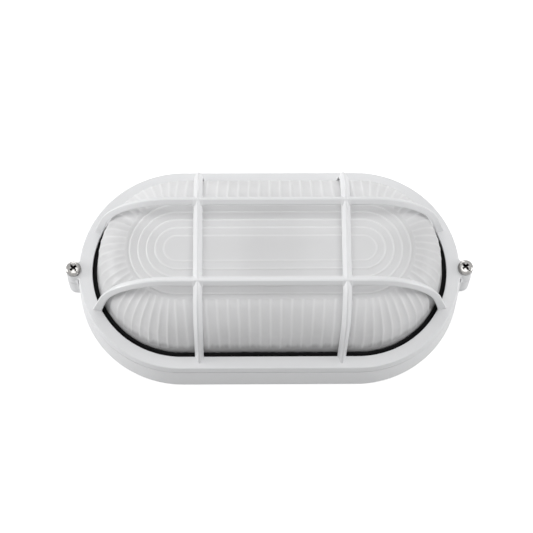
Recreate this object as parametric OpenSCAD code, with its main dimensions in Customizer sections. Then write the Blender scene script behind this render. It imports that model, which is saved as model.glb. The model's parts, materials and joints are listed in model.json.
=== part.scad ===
// Oval caged bulkhead wall light, lying on its wall face with the front up.
// X is the long axis, Z points out of the wall and z = 0 is the wall face.
// Every oval is a straight middle with a half round at each end, so it is
// described by one reach, measured from the middle line to its edge.

/* [Housing] */
// Half length of the straight middle of the oval
oval_half = 54; // [44:1:64]
// Reach of the housing at the wall
base_reach = 66; // [60:0.1:72]
// Draft of the housing between the wall and the guard
housing_draft = 0.8; // [0.4:0.1:1.6]
// Height of the joint between housing and guard
seam_z = 24.8; // [23:0.1:27]
// Thickness of the cast floor
floor_t = 3; // [2:0.1:4]
// Thickness of the cast side walls
wall_t = 3; // [2.2:0.1:3.6]
// Width of the channel between bowl and skirt
channel_w = 8.5; // [7:0.1:10]
// Depth of the pocket for the seal
pocket_deep = 5; // [4.6:0.1:5.4]
// Thickness of the shelf that carries the seal
shelf_t = 3; // [2:0.1:4]
// Thickness of the ribs between bowl and skirt
rib_t = 2; // [1.2:0.1:3]
// Distance from the wall face to the ribs
rib_set_back = 3; // [1:0.5:6]

/* [Guard] */
// Height of the flat face of the guard ring
face_z = 30.2; // [29.4:0.1:32]
// Distance from the seam in to the outer edge of the flat face
face_set_in = 0.8; // [0.4:0.1:1.6]
// Width of the flat face
face_w = 8.2; // [7.4:0.1:8.8]
// Height of the ridge of the bars
cage_z = 84.5; // [82:0.5:92]
// Width of a bar
bar_w = 5.6; // [4:0.1:7]
// Depth of a bar from its ridge to its back
bar_depth = 5.2; // [4:0.1:6.5]
// Depth of the roof of a bar at the top of the cage
roof_top = 1.25; // [0.8:0.1:2]
// Depth of the roof of a bar at its feet
roof_foot = 4.2; // [2:0.1:4.6]
// Width of the back of a bar
bar_back_w = 4; // [2.5:0.1:5]
// Distance of the two long bars from the middle
long_bar_y = 25.7; // [20:0.1:32]
// Distance from the end of the face in to the feet of the long bars
long_foot_in = 9.4; // [7.4:0.1:11]
// Slope of the legs of the long bars
long_leg_angle = 75.5; // [70:0.5:80]
// Bend of the long bars
long_bend_r = 45; // [36:1:50]
// Outward lean of the long bars
long_lean = 19; // [0:1:22]
// Distance of the two cross bars from the middle
cross_bar_x = 44.5; // [36:0.5:52]
// Distance from the side of the face in to the feet of the cross bars
cross_foot_in = 3.6; // [2.8:0.1:4.6]
// Slope of the legs of the cross bars
cross_leg_angle = 74.5; // [72:0.5:82]
// Bend of the cross bars
cross_bend_r = 30; // [24:1:33]

/* [Cover screws] */
// Distance of the cover screws from the end of the seam
lug_out = 2.6; // [2.2:0.1:4]
// Radius of the round lugs
lug_r = 5.2; // [4.9:0.1:6]
// Diameter of the screw shanks
screw_d = 4.9; // [4.5:0.1:5.1]
// Length of the screws below the head
screw_len = 20; // [16:0.5:22]
// Diameter of the screw heads
head_d = 9.6; // [8.6:0.1:10.2]
// Height of the screw heads
head_h = 3.3; // [2.6:0.1:4]
// Clearance of the shank in the guard lug
lug_clear = 0.3; // [0.2:0.05:0.5]
// Running clearance between a thread and its hole
thread_clear = 0.05; // [0.02:0.01:0.08]

/* [Glass] */
// Distance from the opening in to the wall of the glass
glass_set_in = 3; // [2.6:0.1:3.6]
// Slant of the glass wall up to its shoulder
glass_slant = 3.7; // [2:0.1:5]
// Height where the shoulder starts
shoulder_z = 47.5; // [44:0.5:50]
// Radius of the shoulder
shoulder_r = 20; // [18:0.5:22]
// Rise of the front from the shoulder to the middle
front_rise = 0.8; // [0.4:0.1:2]
// Thickness of the glass
glass_t = 3; // [2.2:0.1:3.4]
// Thickness of the glass flange
flange_t = 4; // [3:0.1:4.4]
// Rubber between the glass flange and the outside of the seal
flange_cover = 1.5; // [1:0.1:2.4]
// Number of rings pressed in the front
ring_count = 5; // [3:1:5]
// Half width of the eye inside the innermost ring
ring_eye = 4; // [2:0.1:8]
// Height of the rings
ring_h = 0.6; // [0.3:0.1:1]
// Number of flutes round the glass
flute_count = 88; // [56:4:96]
// Width of the ridge between two flutes
flute_ridge_w = 1.6; // [1:0.1:2.4]
// Height of the ridge between two flutes
flute_ridge_h = 0.7; // [0.4:0.1:1]
// Height of the smooth band between the flange and the flutes
rim_band_h = 7.2; // [3:0.1:9]

/* [Seal] */
// Thickness of the lips of the seal
lip_t = 2; // [1.4:0.1:2.4]
// Thickness of the rim round the seal
rim_t = 3.35; // [2.6:0.05:4]
// Gap between the seal and the walls round it
seal_gap = 0.35; // [0.2:0.05:0.6]

/* [Lamp and holder] */
// Height of the axis of the lamp over the middle of the hollow
lamp_rise = 0.75; // [0:0.05:1]
// Diameter of the bulb
bulb_d = 55; // [45:1:55]
// Length of the bulb with its cap
bulb_len = 99; // [94:1:104]
// Diameter of the screw cap of the bulb
cap_d = 26.1; // [25.7:0.1:26.4]
// Length of the screw cap of the bulb
cap_len = 22; // [20:0.5:24]
// Running clearance of the cap in its shell
cap_clear = 0.08; // [0.02:0.01:0.1]
// Place of the back of the holder along X
holder_x = -84; // [-86:0.5:-82]
// Length of the holder
holder_len = 42; // [40:0.5:44]
// Diameter of the holder
holder_d = 42; // [38:0.5:44]
// Thickness of the threaded shell
shell_t = 0.5; // [0.3:0.1:0.8]
// Thickness of the steel bracket
bracket_t = 1.5; // [1:0.1:2]
// Width of the steel bracket
bracket_w = 26; // [22:1:30]
// Length of the foot of the bracket
bracket_foot = 18; // [15:0.5:21]
// Height of the bracket bosses above the floor
boss_h = 3; // [2:0.1:4]

/* [Wiring] */
// Diameter of the inner wires
wire_d = 2.4; // [1.8:0.1:2.8]
// Place of the terminal block along X
block_x = 62; // [56:1:66]
// Place of the terminal block along Y
block_y = 22; // [16:1:26]
// Distance between the poles of the terminal block
pole_pitch = 8; // [7:0.5:9]
// Depth of the terminal block along its poles
block_w = 17; // [14:0.5:20]
// Height of the terminal block
block_h = 13; // [11:0.5:15]
// Place of the earth boss along X
earth_x = 58; // [52:1:64]
// Place of the earth boss along Y
earth_y = -26; // [-30:1:-20]
// Place of the cable entry along X
entry_x = 30; // [20:1:44]
// Height of the cable entry
entry_z = 9.6; // [9:0.1:10]
// Diameter of the bore for the cable
cable_d = 8; // [6:0.5:9]

/* [Wall screws] */
// Distance from the end of the bowl in to the holes for wall screws
wall_hole_in = 9.5; // [8:0.5:14]
// Diameter of the holes for wall screws
wall_hole_d = 5.5; // [4.5:0.1:6.5]

/* [Hidden] */
$fn = 72;
white = "white";
steel = "silver";
brass = "goldenrod";

// Places that follow from the sizes above
seam_reach = base_reach - housing_draft;
face_reach = seam_reach - face_set_in;
opening_reach = face_reach - face_w;
long_foot = oval_half + face_reach - long_foot_in;
cross_foot = face_reach - cross_foot_in;
shelf_z = seam_z - pocket_deep;
channel_reach = base_reach - wall_t;
bowl_outer = channel_reach - channel_w;
bowl_reach = bowl_outer - wall_t;
seal_z = shelf_z + lip_t;
flange_z = seal_z + flange_t;
seal_top = flange_z + lip_t;
rim_reach = seam_reach - rim_t;
seal_reach = rim_reach - seal_gap;
flange_reach = seal_reach - flange_cover;
glass_foot = opening_reach - glass_set_in;
glass_shoulder = glass_foot - glass_slant;
lug_x = oval_half + seam_reach + lug_out;
front_z = shoulder_z + shoulder_r;
flat_reach = glass_shoulder - shoulder_r;
ring_pitch = (flat_reach - ring_eye) / ring_count;
lamp_z = (floor_t + front_z - glass_t) / 2 + lamp_rise;
wall_hole_x = oval_half + bowl_reach - wall_hole_in;
shoulder_step = 10;
rim_band_r = glass_foot + flute_ridge_h * 0.1 - rim_band_h * (glass_foot - glass_shoulder) / (shoulder_z - flange_z)
    + flute_ridge_h;
// A leg runs a little way into its bend, just inside it
leg_lap = 0.6;
leg_inset = 0.03;
foot_trim_h = 8;
holder_face_x = holder_x + holder_len;
shell_r = cap_d / 2 + cap_clear;
socket_r = shell_r + shell_t + 0.1;
cap_x = holder_face_x - cap_len - 2;
small_screw_d = 3.9;
small_head_d = 7;
small_head_h = 2.4;
bracket_screw_len = 5.5;
holder_screw_len = 8;
clamp_screw_d = 3;
clamp_screw_len = 3.5;
clamp_head_d = 5;
clamp_head_h = 1.8;
boss_r = 4.5;
boss_z = floor_t + boss_h;
bracket_hole_x = holder_x + 8;
bracket_hole_y = 8;
holder_hole_gap = 22;
pocket_y = 10;
pocket_w = 7;
pocket_x = holder_x + 7;
pocket_z = lamp_z + 5;
terminal_h = 9;
terminal_w = 6;
post_r = 2;
entry_r = 6.5;
flange_r = 7.7;
flange_deep = 2;
loose = 0.05;
pole_count = 3;
block_len = pole_count * pole_pitch;
block_z = floor_t + 2;
tube_r = 2.2;
tube_z = block_z + 6;
earth_z = floor_t + 4;
washer_t = 1;

// One oval band or slab, swept from a profile of [reach, height] points
module oval_sweep(profile) {
    mirrored = [for (p = profile) [-p[0], p[1]]];
    for (side = [0, 1]) {
        mirror([side, 0, 0]) translate([oval_half, 0, 0])
            rotate([0, 0, -90]) rotate_extrude(angle = 180) polygon(profile);
    }
    rotate([90, 0, 90]) linear_extrude(2 * oval_half, center = true) {
        polygon(profile);
        polygon(mirrored);
    }
}

// One oval slab whose profile reaches the middle line
module oval_slab(profile) {
    count = len(profile);
    across = concat(profile, [for (i = [count - 1:-1:0])
        if (profile[i][0] > 0) [-profile[i][0], profile[i][1]]]);
    for (side = [0, 1]) {
        mirror([side, 0, 0]) translate([oval_half, 0, 0])
            rotate([0, 0, -90]) rotate_extrude(angle = 180) polygon(profile);
    }
    rotate([90, 0, 90]) linear_extrude(2 * oval_half, center = true) polygon(across);
}

// A cylinder between two heights
module post(x, y, z0, z1, r) {
    translate([x, y, z0]) cylinder(h = z1 - z0, r = r);
}

// A pan head with its shank pointing down from z = 0
module pan_screw(d, length, hd, hh, slot_w) {
    crown = hh * 0.45;
    difference() {
        union() {
            translate([0, 0, -length]) cylinder(h = length, d = d);
            rotate_extrude() polygon([[0, 0], [hd / 2, 0], [hd / 2, hh - crown],
                [hd * 0.44, hh - crown * 0.5], [hd * 0.34, hh - crown * 0.15], [hd * 0.2, hh], [0, hh]]);
        }
        for (turn = [0, 90]) {
            rotate([0, 0, turn + 40]) translate([0, 0, hh])
                cube([hd * 0.56, slot_w, hh * 1.1], center = true);
        }
    }
}

// Housing
module housing_profile() {
    oval_slab([[0, 0], [bowl_outer, 0], [bowl_outer, shelf_z - shelf_t],
        [channel_reach - 0.2, shelf_z - shelf_t], [channel_reach, 0], [base_reach, 0],
        [seam_reach, seam_z], [rim_reach, seam_z], [rim_reach, shelf_z],
        [bowl_reach, shelf_z], [bowl_reach - 0.5, floor_t], [0, floor_t]]);
}

module channel_ribs() {
    rib_len = channel_reach - bowl_outer + 1.6;
    rib_mid = (channel_reach + bowl_outer) / 2;
    rib_top = shelf_z - shelf_t + 1;
    straight_ribs = 2;
    for (side = [-1, 1]) {
        for (i = [-straight_ribs:straight_ribs]) {
            if (side < 0 || abs(i * oval_half / 2 - entry_x) > 10) {
                translate([i * oval_half / 2, side * rib_mid, (rib_set_back + rib_top) / 2])
                    cube([rib_t, rib_len, rib_top - rib_set_back], center = true);
            }
        }
        for (turn = [-60, -30, 30, 60]) {
            translate([side * oval_half, 0, 0]) rotate([0, 0, turn + (side < 0 ? 180 : 0)])
                translate([rib_mid, 0, (rib_set_back + rib_top) / 2])
                    cube([rib_len, rib_t, rib_top - rib_set_back], center = true);
        }
    }
}

module lug(z0, z1, root) {
    post(lug_x, 0, z0, z1, lug_r);
    translate([root, -lug_r, z0]) cube([lug_x - root, 2 * lug_r, z1 - z0]);
}

module base_housing() {
    color(white) difference() {
        union() {
            housing_profile();
            channel_ribs();
            for (side = [0, 1]) {
                mirror([side, 0, 0]) lug(0, seam_z, oval_half + channel_reach + 0.8);
            }
            for (side = [-1, 1]) {
                post(side * wall_hole_x, 0, floor_t - 1, floor_t + 1.5, wall_hole_d / 2 + 3);
                post(bracket_hole_x, side * bracket_hole_y, floor_t - 1, boss_z, boss_r);
            }
            post(earth_x, earth_y, floor_t - 1, earth_z, boss_r);
            post(block_x, block_y, floor_t - 1, block_z, boss_r);
            translate([entry_x, bowl_outer - 1, entry_z]) rotate([-90, 0, 0])
                cylinder(h = channel_reach - bowl_outer + 2, r = entry_r + 2.2);
        }
        for (side = [-1, 1]) {
            post(side * lug_x, 0, seam_z - 17, seam_z + 1, screw_d / 2 + thread_clear);
            post(side * wall_hole_x, 0, -1, floor_t + 3, wall_hole_d / 2);
            post(bracket_hole_x, side * bracket_hole_y, 1.2, boss_z + 1, small_screw_d / 2 + loose);
        }
        post(earth_x, earth_y, 1.2, earth_z + 1, small_screw_d / 2 + loose);
        post(block_x, block_y, 1.2, block_z + 1, small_screw_d / 2 + loose);
        translate([entry_x, bowl_reach - 5, entry_z]) rotate([-90, 0, 0])
            cylinder(h = base_reach - bowl_reach + 10, r = entry_r);
        translate([entry_x, seam_reach - flange_deep, entry_z]) rotate([-90, 0, 0])
            cylinder(h = 10, r = flange_r);
    }
}

// Guard
function turned(p, a) = [p[0] * cos(a) - p[1] * sin(a), p[0] * sin(a) + p[1] * cos(a)];
function bar_section(roof, back_w, lean, inset = 0) = [for (p = [[0, -inset], [bar_w / 2 - inset, -roof],
    [back_w / 2 - inset, inset - bar_depth], [inset - back_w / 2, inset - bar_depth],
    [inset - bar_w / 2, -roof]]) turned(p, lean)];

module bar_leg(foot, leg, rise, low, lean) {
    // e runs up the leg and n points out of the cage
    e = [-cos(leg), 0, sin(leg)];
    n = [sin(leg), 0, cos(leg)];
    start = [foot, 0, face_z] - e * low;
    finish = [foot, 0, face_z] + e * (rise + leg_lap);
    lower = bar_section(roof_foot, bar_w, lean);
    upper = bar_section(roof_top, bar_back_w, lean, leg_inset);
    points = concat([for (p = lower) start + [0, p[0], 0] + n * p[1]],
        [for (p = upper) finish + [0, p[0], 0] + n * p[1]]);
    sides = [for (i = [0:4]) each [[i, (i + 1) % 5 + 5, (i + 1) % 5], [i, i + 5, (i + 1) % 5 + 5]]];
    polyhedron(points, concat([[0, 1, 2, 3, 4], [9, 8, 7, 6, 5]], sides));
}

module bar(foot, leg, bend, lean) {
    bend_z = cage_z - bend;
    rise = (bend_z + bend * cos(leg) - face_z) / sin(leg);
    bend_x = round(100 * (foot - rise * cos(leg) - bend * sin(leg))) / 100;
    top = bar_section(roof_top, bar_back_w, lean);
    rotate([90, 0, 90]) linear_extrude(2 * bend_x, center = true)
        polygon([for (p = top) [p[0], cage_z + p[1]]]);
    for (side = [0, 1]) {
        mirror([side, 0, 0]) {
            translate([bend_x, 0, bend_z]) rotate([90, 0, 0]) rotate([0, 0, 90 - leg])
                rotate_extrude(angle = leg) polygon([for (p = top) [bend + p[1], -p[0]]]);
            bar_leg(foot, leg, rise, 1.4, lean);
        }
    }
}

module guard_ring() {
    edge = 0.8;
    oval_sweep([[seam_reach, seam_z], [face_reach + 0.25, face_z - edge], [face_reach, face_z - edge * 0.35],
        [face_reach - edge, face_z], [opening_reach + edge, face_z], [opening_reach, face_z - edge],
        [opening_reach, seal_top], [rim_reach, seal_top], [rim_reach, seam_z]]);
}

module guard_frame() {
    color(white) {
        difference() {
            union() {
                guard_ring();
                for (side = [0, 1]) {
                    mirror([side, 0, 0]) lug(seam_z, face_z, oval_half + rim_reach + 1);
                }
            }
            for (side = [-1, 1]) {
                post(side * lug_x, 0, seam_z - 1, face_z + 1, screw_d / 2 + lug_clear);
            }
        }
        difference() {
            union() {
                for (side = [-1, 1]) {
                    translate([0, side * long_bar_y, 0])
                        bar(long_foot, long_leg_angle, long_bend_r, -side * long_lean);
                    translate([side * cross_bar_x, 0, 0]) rotate([0, 0, 90])
                        bar(cross_foot, cross_leg_angle, cross_bend_r, 0);
                }
            }
            // The backs of the feet stand flush with the opening of the ring
            oval_slab([[0, seal_z], [opening_reach + 0.3, seal_z], [opening_reach + 0.3, face_z],
                [opening_reach + 0.3 - foot_trim_h / tan(long_leg_angle), face_z + foot_trim_h],
                [0, face_z + foot_trim_h]]);
        }
    }
}

// Glass
function shoulder_arc(r) = [for (a = [0:shoulder_step:90])
    [flat_reach + r * cos(a), shoulder_z + r * sin(a)]];
function front_at(r) = front_z + front_rise * (1 - pow(r / flat_reach, 2));
// Each ring steps up at its outer edge and falls back slowly towards the middle
ring_shape = [[0, 0], [0.08, 0.75], [0.25, 1], [0.6, 0.7]];
function ring_points() = [for (i = [0:ring_count - 1]) for (q = ring_shape)
    let (r = flat_reach - ring_pitch * (i + q[0]))
    [r, front_at(r) + ring_h * q[1]]];

module flute_ridge() {
    // A thin blade that follows the wall and the shoulder, from the rim band to the first ring
    tall = shoulder_r + flute_ridge_h;
    deep = shoulder_r - glass_t / 2;
    foot_z = flange_z + rim_band_h - 1;
    foot_r = glass_foot - (glass_foot - glass_shoulder) * (foot_z - flange_z) / (shoulder_z - flange_z);
    bends = [for (i = [0:6]) 14 * i];
    outer = [for (a = bends) [flat_reach + tall * cos(a), shoulder_z + tall * sin(a)]];
    inner = [for (i = [6:-1:0]) [flat_reach + deep * cos(bends[i]), shoulder_z + deep * sin(bends[i])]];
    rotate([90, 0, 0]) linear_extrude(flute_ridge_w, center = true)
        polygon(concat([[foot_r - glass_t / 2, foot_z], [foot_r + flute_ridge_h * 0.8, foot_z]], outer, inner));
}

module flutes() {
    // The ridges keep one distance along the wall of the glass, all the way round
    quarter = oval_half + glass_foot * PI / 2;
    pitch = 4 * quarter / flute_count;
    for (i = [0:floor(quarter / pitch)]) {
        way = i * pitch;
        turn = (way - oval_half) / glass_foot * 180 / PI;
        for (u = [0, 1], v = [0, 1]) {
            if (u == 0 || i > 0) {
                mirror([u, 0, 0]) mirror([0, v, 0]) translate([min(way, oval_half), 0, 0])
                    rotate([0, 0, 90 - max(turn, 0)]) flute_ridge();
            }
        }
    }
}

module glass_diffuser() {
    color("gainsboro") difference() {
        union() {
            oval_slab(concat([[0, seal_z], [flange_reach, seal_z], [flange_reach, flange_z],
                [glass_foot + 0.2, flange_z], [rim_band_r, flange_z + rim_band_h],
                [rim_band_r - flute_ridge_h, flange_z + rim_band_h + flute_ridge_h]],
                shoulder_arc(shoulder_r), ring_points(),
                [[flat_reach - ring_pitch * ring_count, front_at(0)], [0, front_at(0)]]));
            flutes();
        }
        oval_slab(concat([[0, seal_z - 1], [glass_foot - glass_t, seal_z - 1], [glass_foot - glass_t, flange_z]],
            shoulder_arc(shoulder_r - glass_t), [[0, front_z - glass_t + front_rise]]));
    }
}

module glass_gasket() {
    groove = flange_reach + 0.1;
    color("dimgray") oval_sweep([[glass_foot + 1.8, shelf_z], [seal_reach, shelf_z], [seal_reach, seal_top],
        [glass_foot + 0.5, seal_top], [glass_foot + 0.5, flange_z], [groove, flange_z],
        [groove, seal_z], [glass_foot + 1.8, seal_z]]);
}

// Cover screws
module cover_screw(side) {
    color(steel) translate([side * lug_x, 0, face_z]) pan_screw(screw_d, screw_len, head_d, head_h, 1.2);
}

module cover_screw_left() {
    cover_screw(-1);
}

module cover_screw_right() {
    cover_screw(1);
}

// Cable entry
module cable_grommet() {
    inner_y = bowl_reach - 1;
    outer_y = seam_reach - 0.1;
    color("dimgray") translate([entry_x, 0, entry_z]) rotate([-90, 0, 0]) difference() {
        union() {
            translate([0, 0, inner_y]) cylinder(h = outer_y - inner_y, r = entry_r - loose);
            translate([0, 0, seam_reach - flange_deep]) cylinder(h = flange_deep - 0.1, r = flange_r - loose);
        }
        translate([0, 0, inner_y - 1]) cylinder(h = outer_y - inner_y + 2, d = cable_d);
    }
}

// Lamp holder
module lampholder_bracket() {
    top_z = lamp_z + holder_hole_gap / 2 + 7;
    bend = 2 * bracket_t;
    bend_at = [holder_x + bend - bracket_t, boss_z + bend];
    color(steel) difference() {
        rotate([90, 0, 0]) linear_extrude(bracket_w, center = true)
            polygon(concat([[holder_x + bracket_foot, boss_z], [holder_x + bracket_foot, boss_z + bracket_t]],
                [for (a = [270:-15:180]) bend_at + (bend - bracket_t) * [cos(a), sin(a)]],
                [[holder_x, top_z], [holder_x - bracket_t, top_z]],
                [for (a = [180:15:270]) bend_at + bend * [cos(a), sin(a)]]));
        for (side = [-1, 1]) {
            post(bracket_hole_x, side * bracket_hole_y, boss_z - 1, boss_z + bracket_t + 1, small_screw_d / 2 + 0.2);
            translate([holder_x - bracket_t - 1, 0, lamp_z + side * holder_hole_gap / 2]) rotate([0, 90, 0])
                cylinder(h = bracket_t + 2, r = small_screw_d / 2 + 0.2);
        }
    }
}

module bracket_screws() {
    for (side = [-1, 1]) {
        color(steel) translate([bracket_hole_x, side * bracket_hole_y, boss_z + bracket_t])
            pan_screw(small_screw_d, bracket_screw_len, small_head_d, small_head_h, 1);
    }
}

module holder_screw_places() {
    for (side = [-1, 1]) {
        translate([holder_x - bracket_t, 0, lamp_z + side * holder_hole_gap / 2]) rotate([0, -90, 0]) children();
    }
}

module lampholder_screws() {
    color(steel) holder_screw_places() pan_screw(small_screw_d, holder_screw_len, small_head_d, small_head_h, 1);
}

module lampholder_body() {
    color(white) difference() {
        translate([holder_x, 0, lamp_z]) rotate([0, 90, 0]) rotate_extrude()
            polygon([[0, 0], [holder_d / 2 - 1.5, 0], [holder_d / 2, 1.5], [holder_d / 2, 16],
                [holder_d / 2 - 2, 18], [holder_d / 2 - 2, holder_len - 3], [holder_d / 2 - 3.5, holder_len - 1],
                [holder_d / 2 - 4.5, holder_len], [0, holder_len]]);
        translate([cap_x - 4, 0, lamp_z]) rotate([0, 90, 0])
            cylinder(h = holder_len, r = socket_r);
        holder_screw_places() translate([0, 0, -9 - bracket_t])
            cylinder(h = 9 + bracket_t, r = small_screw_d / 2 + loose);
        for (side = [-1, 1]) {
            translate([pocket_x - pocket_w / 2, side * pocket_y - pocket_w / 2, pocket_z])
                cube([pocket_w, pocket_w, holder_d]);
            translate([pocket_x, side * pocket_y, pocket_z + 4]) rotate([-90 * side, 0, 0])
                cylinder(h = holder_d, r = wire_d / 2 + 0.3);
        }
    }
}

module lampholder_shell() {
    color(brass) translate([cap_x - 2, 0, lamp_z]) rotate([0, 90, 0]) difference() {
        cylinder(h = cap_len, r = shell_r + shell_t);
        translate([0, 0, -1]) cylinder(h = cap_len + 2, r = shell_r);
    }
}

module centre_contact() {
    // A springy tongue that stands on the floor of the socket
    floor_x = cap_x - 4;
    tip_x = cap_x - 2.2;
    tongue_t = 0.6;
    color(brass) translate([0, 0, lamp_z]) rotate([90, 0, 0]) linear_extrude(5, center = true)
        polygon([[floor_x, -9], [floor_x, 2], [floor_x + tongue_t, 2], [floor_x + tongue_t, -8],
            [tip_x - tongue_t, 4], [tip_x, 4], [floor_x + 2 * tongue_t, -9]]);
}

module terminal(side) {
    color(brass) translate([pocket_x, side * pocket_y, pocket_z]) difference() {
        translate([-terminal_w / 2, -terminal_w / 2, 0]) cube([terminal_w, terminal_w, terminal_h]);
        translate([0, 0, terminal_h - 4]) cylinder(h = 5, r = clamp_screw_d / 2 + loose);
    }
}

module live_terminal() {
    terminal(-1);
}

module neutral_terminal() {
    terminal(1);
}

module terminal_screws() {
    for (side = [-1, 1]) {
        color(steel) translate([pocket_x, side * pocket_y, pocket_z + terminal_h])
            pan_screw(clamp_screw_d, clamp_screw_len, clamp_head_d, clamp_head_h, 0.8);
    }
}

// Terminal block and earth
module block_poles() {
    for (i = [0:pole_count - 1]) {
        translate([block_x, block_y + (i - 1) * pole_pitch, tube_z]) children();
    }
}

module terminal_block() {
    color("whitesmoke") difference() {
        union() {
            translate([block_x - block_w / 2, block_y - block_len / 2, block_z]) cube([block_w, block_len, 6]);
            block_poles() translate([-block_w / 2, 0, 0]) rotate([0, 90, 0]) cylinder(h = block_w, r = pole_pitch / 2 - 0.4);
            block_poles() for (end = [-1, 1]) {
                translate([end * block_w / 4, 0, 0]) cylinder(h = block_z + block_h - tube_z, r = pole_pitch / 2 - 1);
            }
        }
        block_poles() translate([-block_w, 0, 0]) rotate([0, 90, 0]) cylinder(h = 2 * block_w, r = tube_r + loose);
        block_poles() for (end = [-1, 1]) {
            translate([end * block_w / 4, 0, 0]) cylinder(h = block_h, r = 2);
        }
        post(block_x, block_y, block_z - 1, block_z + block_h + 2, small_screw_d / 2 + 0.2);
        post(block_x, block_y, block_z + block_h - 3, block_z + block_h + 2, small_head_d / 2);
    }
}

module block_tubes() {
    // The middle tube is cut where the fixing screw passes it
    color(brass) difference() {
        block_poles() translate([-block_w / 2 + 1, 0, 0]) rotate([0, 90, 0]) difference() {
            cylinder(h = block_w - 2, r = tube_r);
            translate([0, 0, -1]) cylinder(h = block_w, r = wire_d / 2 + 0.15);
        }
        post(block_x, block_y, block_z, block_z + block_h, small_screw_d / 2 + 0.2);
        block_poles() for (end = [-1, 1]) {
            translate([end * block_w / 4, 0, 0]) cylinder(h = tube_r + 1, r = 1.25 + loose);
        }
    }
}

module block_screws() {
    color(steel) block_poles() for (end = [-1, 1]) {
        translate([end * block_w / 4, 0, tube_r]) pan_screw(2.5, 0.8, 3.6, 1.6, 0.7);
    }
}

module block_fixing_screw() {
    color(steel) translate([block_x, block_y, block_z + block_h - 3])
        pan_screw(small_screw_d, block_h, small_head_d - 0.4, small_head_h, 1);
}

module earth_washer() {
    color(steel) difference() {
        post(earth_x, earth_y, earth_z, earth_z + washer_t, 4.4);
        post(earth_x, earth_y, earth_z - 1, earth_z + washer_t + 1, small_screw_d / 2 + 0.2);
    }
}

module earth_screw() {
    color("seagreen") translate([earth_x, earth_y, earth_z + washer_t])
        pan_screw(small_screw_d, 6, small_head_d, small_head_h, 1);
}

// Wires, each a tube of short straight stretches with rounded corners
function corner(a, b, c, r) = let (
        u = (a - b) / norm(a - b),
        v = (c - b) / norm(c - b),
        half = acos(u * v) / 2,
        reach = r / tan(half),
        p0 = b + u * reach,
        p1 = b + v * reach)
    [for (t = [0:0.25:1]) p0 * pow(1 - t, 2) + 2 * b * t * (1 - t) + p1 * pow(t, 2)];
function rounded_route(pts, r) = concat([pts[0]],
    [for (i = [1:len(pts) - 2]) each corner(pts[i - 1], pts[i], pts[i + 1], r)], [pts[len(pts) - 1]]);
function unit(v) = v / norm(v);

module wire_tube(route) {
    sides = 8;
    count = len(route);
    up = [0.013, 0.021, 1];
    rings = [for (i = [0:count - 1])
        let (d = unit(route[min(i + 1, count - 1)] - route[max(i - 1, 0)]),
             axis = abs(d * up) > 0.98 ? [1, 0.02, 0.01] : up,
             s = unit(cross(d, axis)), w = cross(s, d))
        for (k = [0:sides - 1]) route[i] + wire_d / 2 * (s * cos(360 * k / sides) + w * sin(360 * k / sides))];
    walls = [for (i = [0:count - 2]) for (k = [0:sides - 1])
        [i * sides + k, i * sides + (k + 1) % sides, (i + 1) * sides + (k + 1) % sides, (i + 1) * sides + k]];
    first = [for (k = [sides - 1:-1:0]) k];
    final = [for (k = [0:sides - 1]) (count - 1) * sides + k];
    polyhedron(rings, concat(walls, [first, final]));
}

wire_bend = 4;
block_end_x = block_x - block_w / 2;
holder_wire_z = pocket_z + 4;
terminal_side = pocket_y + terminal_w / 2;
lane_y = bowl_reach - 13.5;
lane_z = floor_t + 4;
lane_end_x = holder_face_x - 6;
climb_y = holder_d / 2 + 13;
climb_z = lane_z + 15;
drop_y = holder_d / 2 + 6;

module lamp_wire(side, pole) {
    wire_y = block_y + pole * pole_pitch;
    wire_tube(rounded_route([[block_x - 3, wire_y, tube_z], [block_end_x - 8, wire_y, tube_z],
        [block_end_x - 16, side * lane_y, lane_z], [lane_end_x, side * lane_y, lane_z],
        [pocket_x, side * climb_y, climb_z], [pocket_x, side * drop_y, holder_wire_z],
        [pocket_x, side * terminal_side, holder_wire_z]], wire_bend));
}

module live_wire() {
    color("saddlebrown") lamp_wire(-1, -1);
}

module neutral_wire() {
    color("royalblue") lamp_wire(1, 1);
}

module earth_wire() {
    color("limegreen") wire_tube(rounded_route([[block_x + 3, block_y, tube_z],
        [block_x + block_w / 2 + 6, block_y, tube_z], [block_x + block_w / 2 + 8, 0, block_z + 4],
        [earth_x + 14, earth_y, earth_z + 3], [earth_x + 4.5, earth_y, earth_z + 2.4]], wire_bend));
}

// Bulb
module bulb() {
    r = bulb_d / 2;
    back_x = cap_x - 2;
    tip_x = back_x + bulb_len;
    ball_x = tip_x - r;
    cap_r = cap_d / 2;
    color("ivory") translate([0, 0, lamp_z]) rotate([0, 90, 0]) rotate_extrude()
        polygon(concat([[0, back_x], [4.2, back_x], [5, back_x + 1.2], [cap_r - 1.6, back_x + 3], [cap_r, back_x + 5],
            [cap_r, back_x + cap_len + 2], [cap_r + 0.6, back_x + cap_len + 5], [cap_r + 3, back_x + cap_len + 11],
            [cap_r + 8, back_x + cap_len + 22]],
            [for (a = [130:-10:0]) [r * sin(a), ball_x + r * cos(a)]]));
}

base_housing();
guard_frame();
glass_diffuser();
glass_gasket();
cover_screw_left();
cover_screw_right();
cable_grommet();
lampholder_bracket();
bracket_screws();
lampholder_body();
lampholder_screws();
lampholder_shell();
centre_contact();
live_terminal();
neutral_terminal();
terminal_screws();
terminal_block();
block_tubes();
block_screws();
block_fixing_screw();
earth_screw();
earth_washer();
live_wire();
neutral_wire();
earth_wire();
bulb();
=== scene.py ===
"""Looks of the caged wall light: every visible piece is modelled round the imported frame."""

import json
import math
from collections import namedtuple

import bmesh
import bpy
from bpy.props import FloatProperty, FloatVectorProperty, IntProperty, PointerProperty
from mathutils import Matrix, Vector, noise

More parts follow.
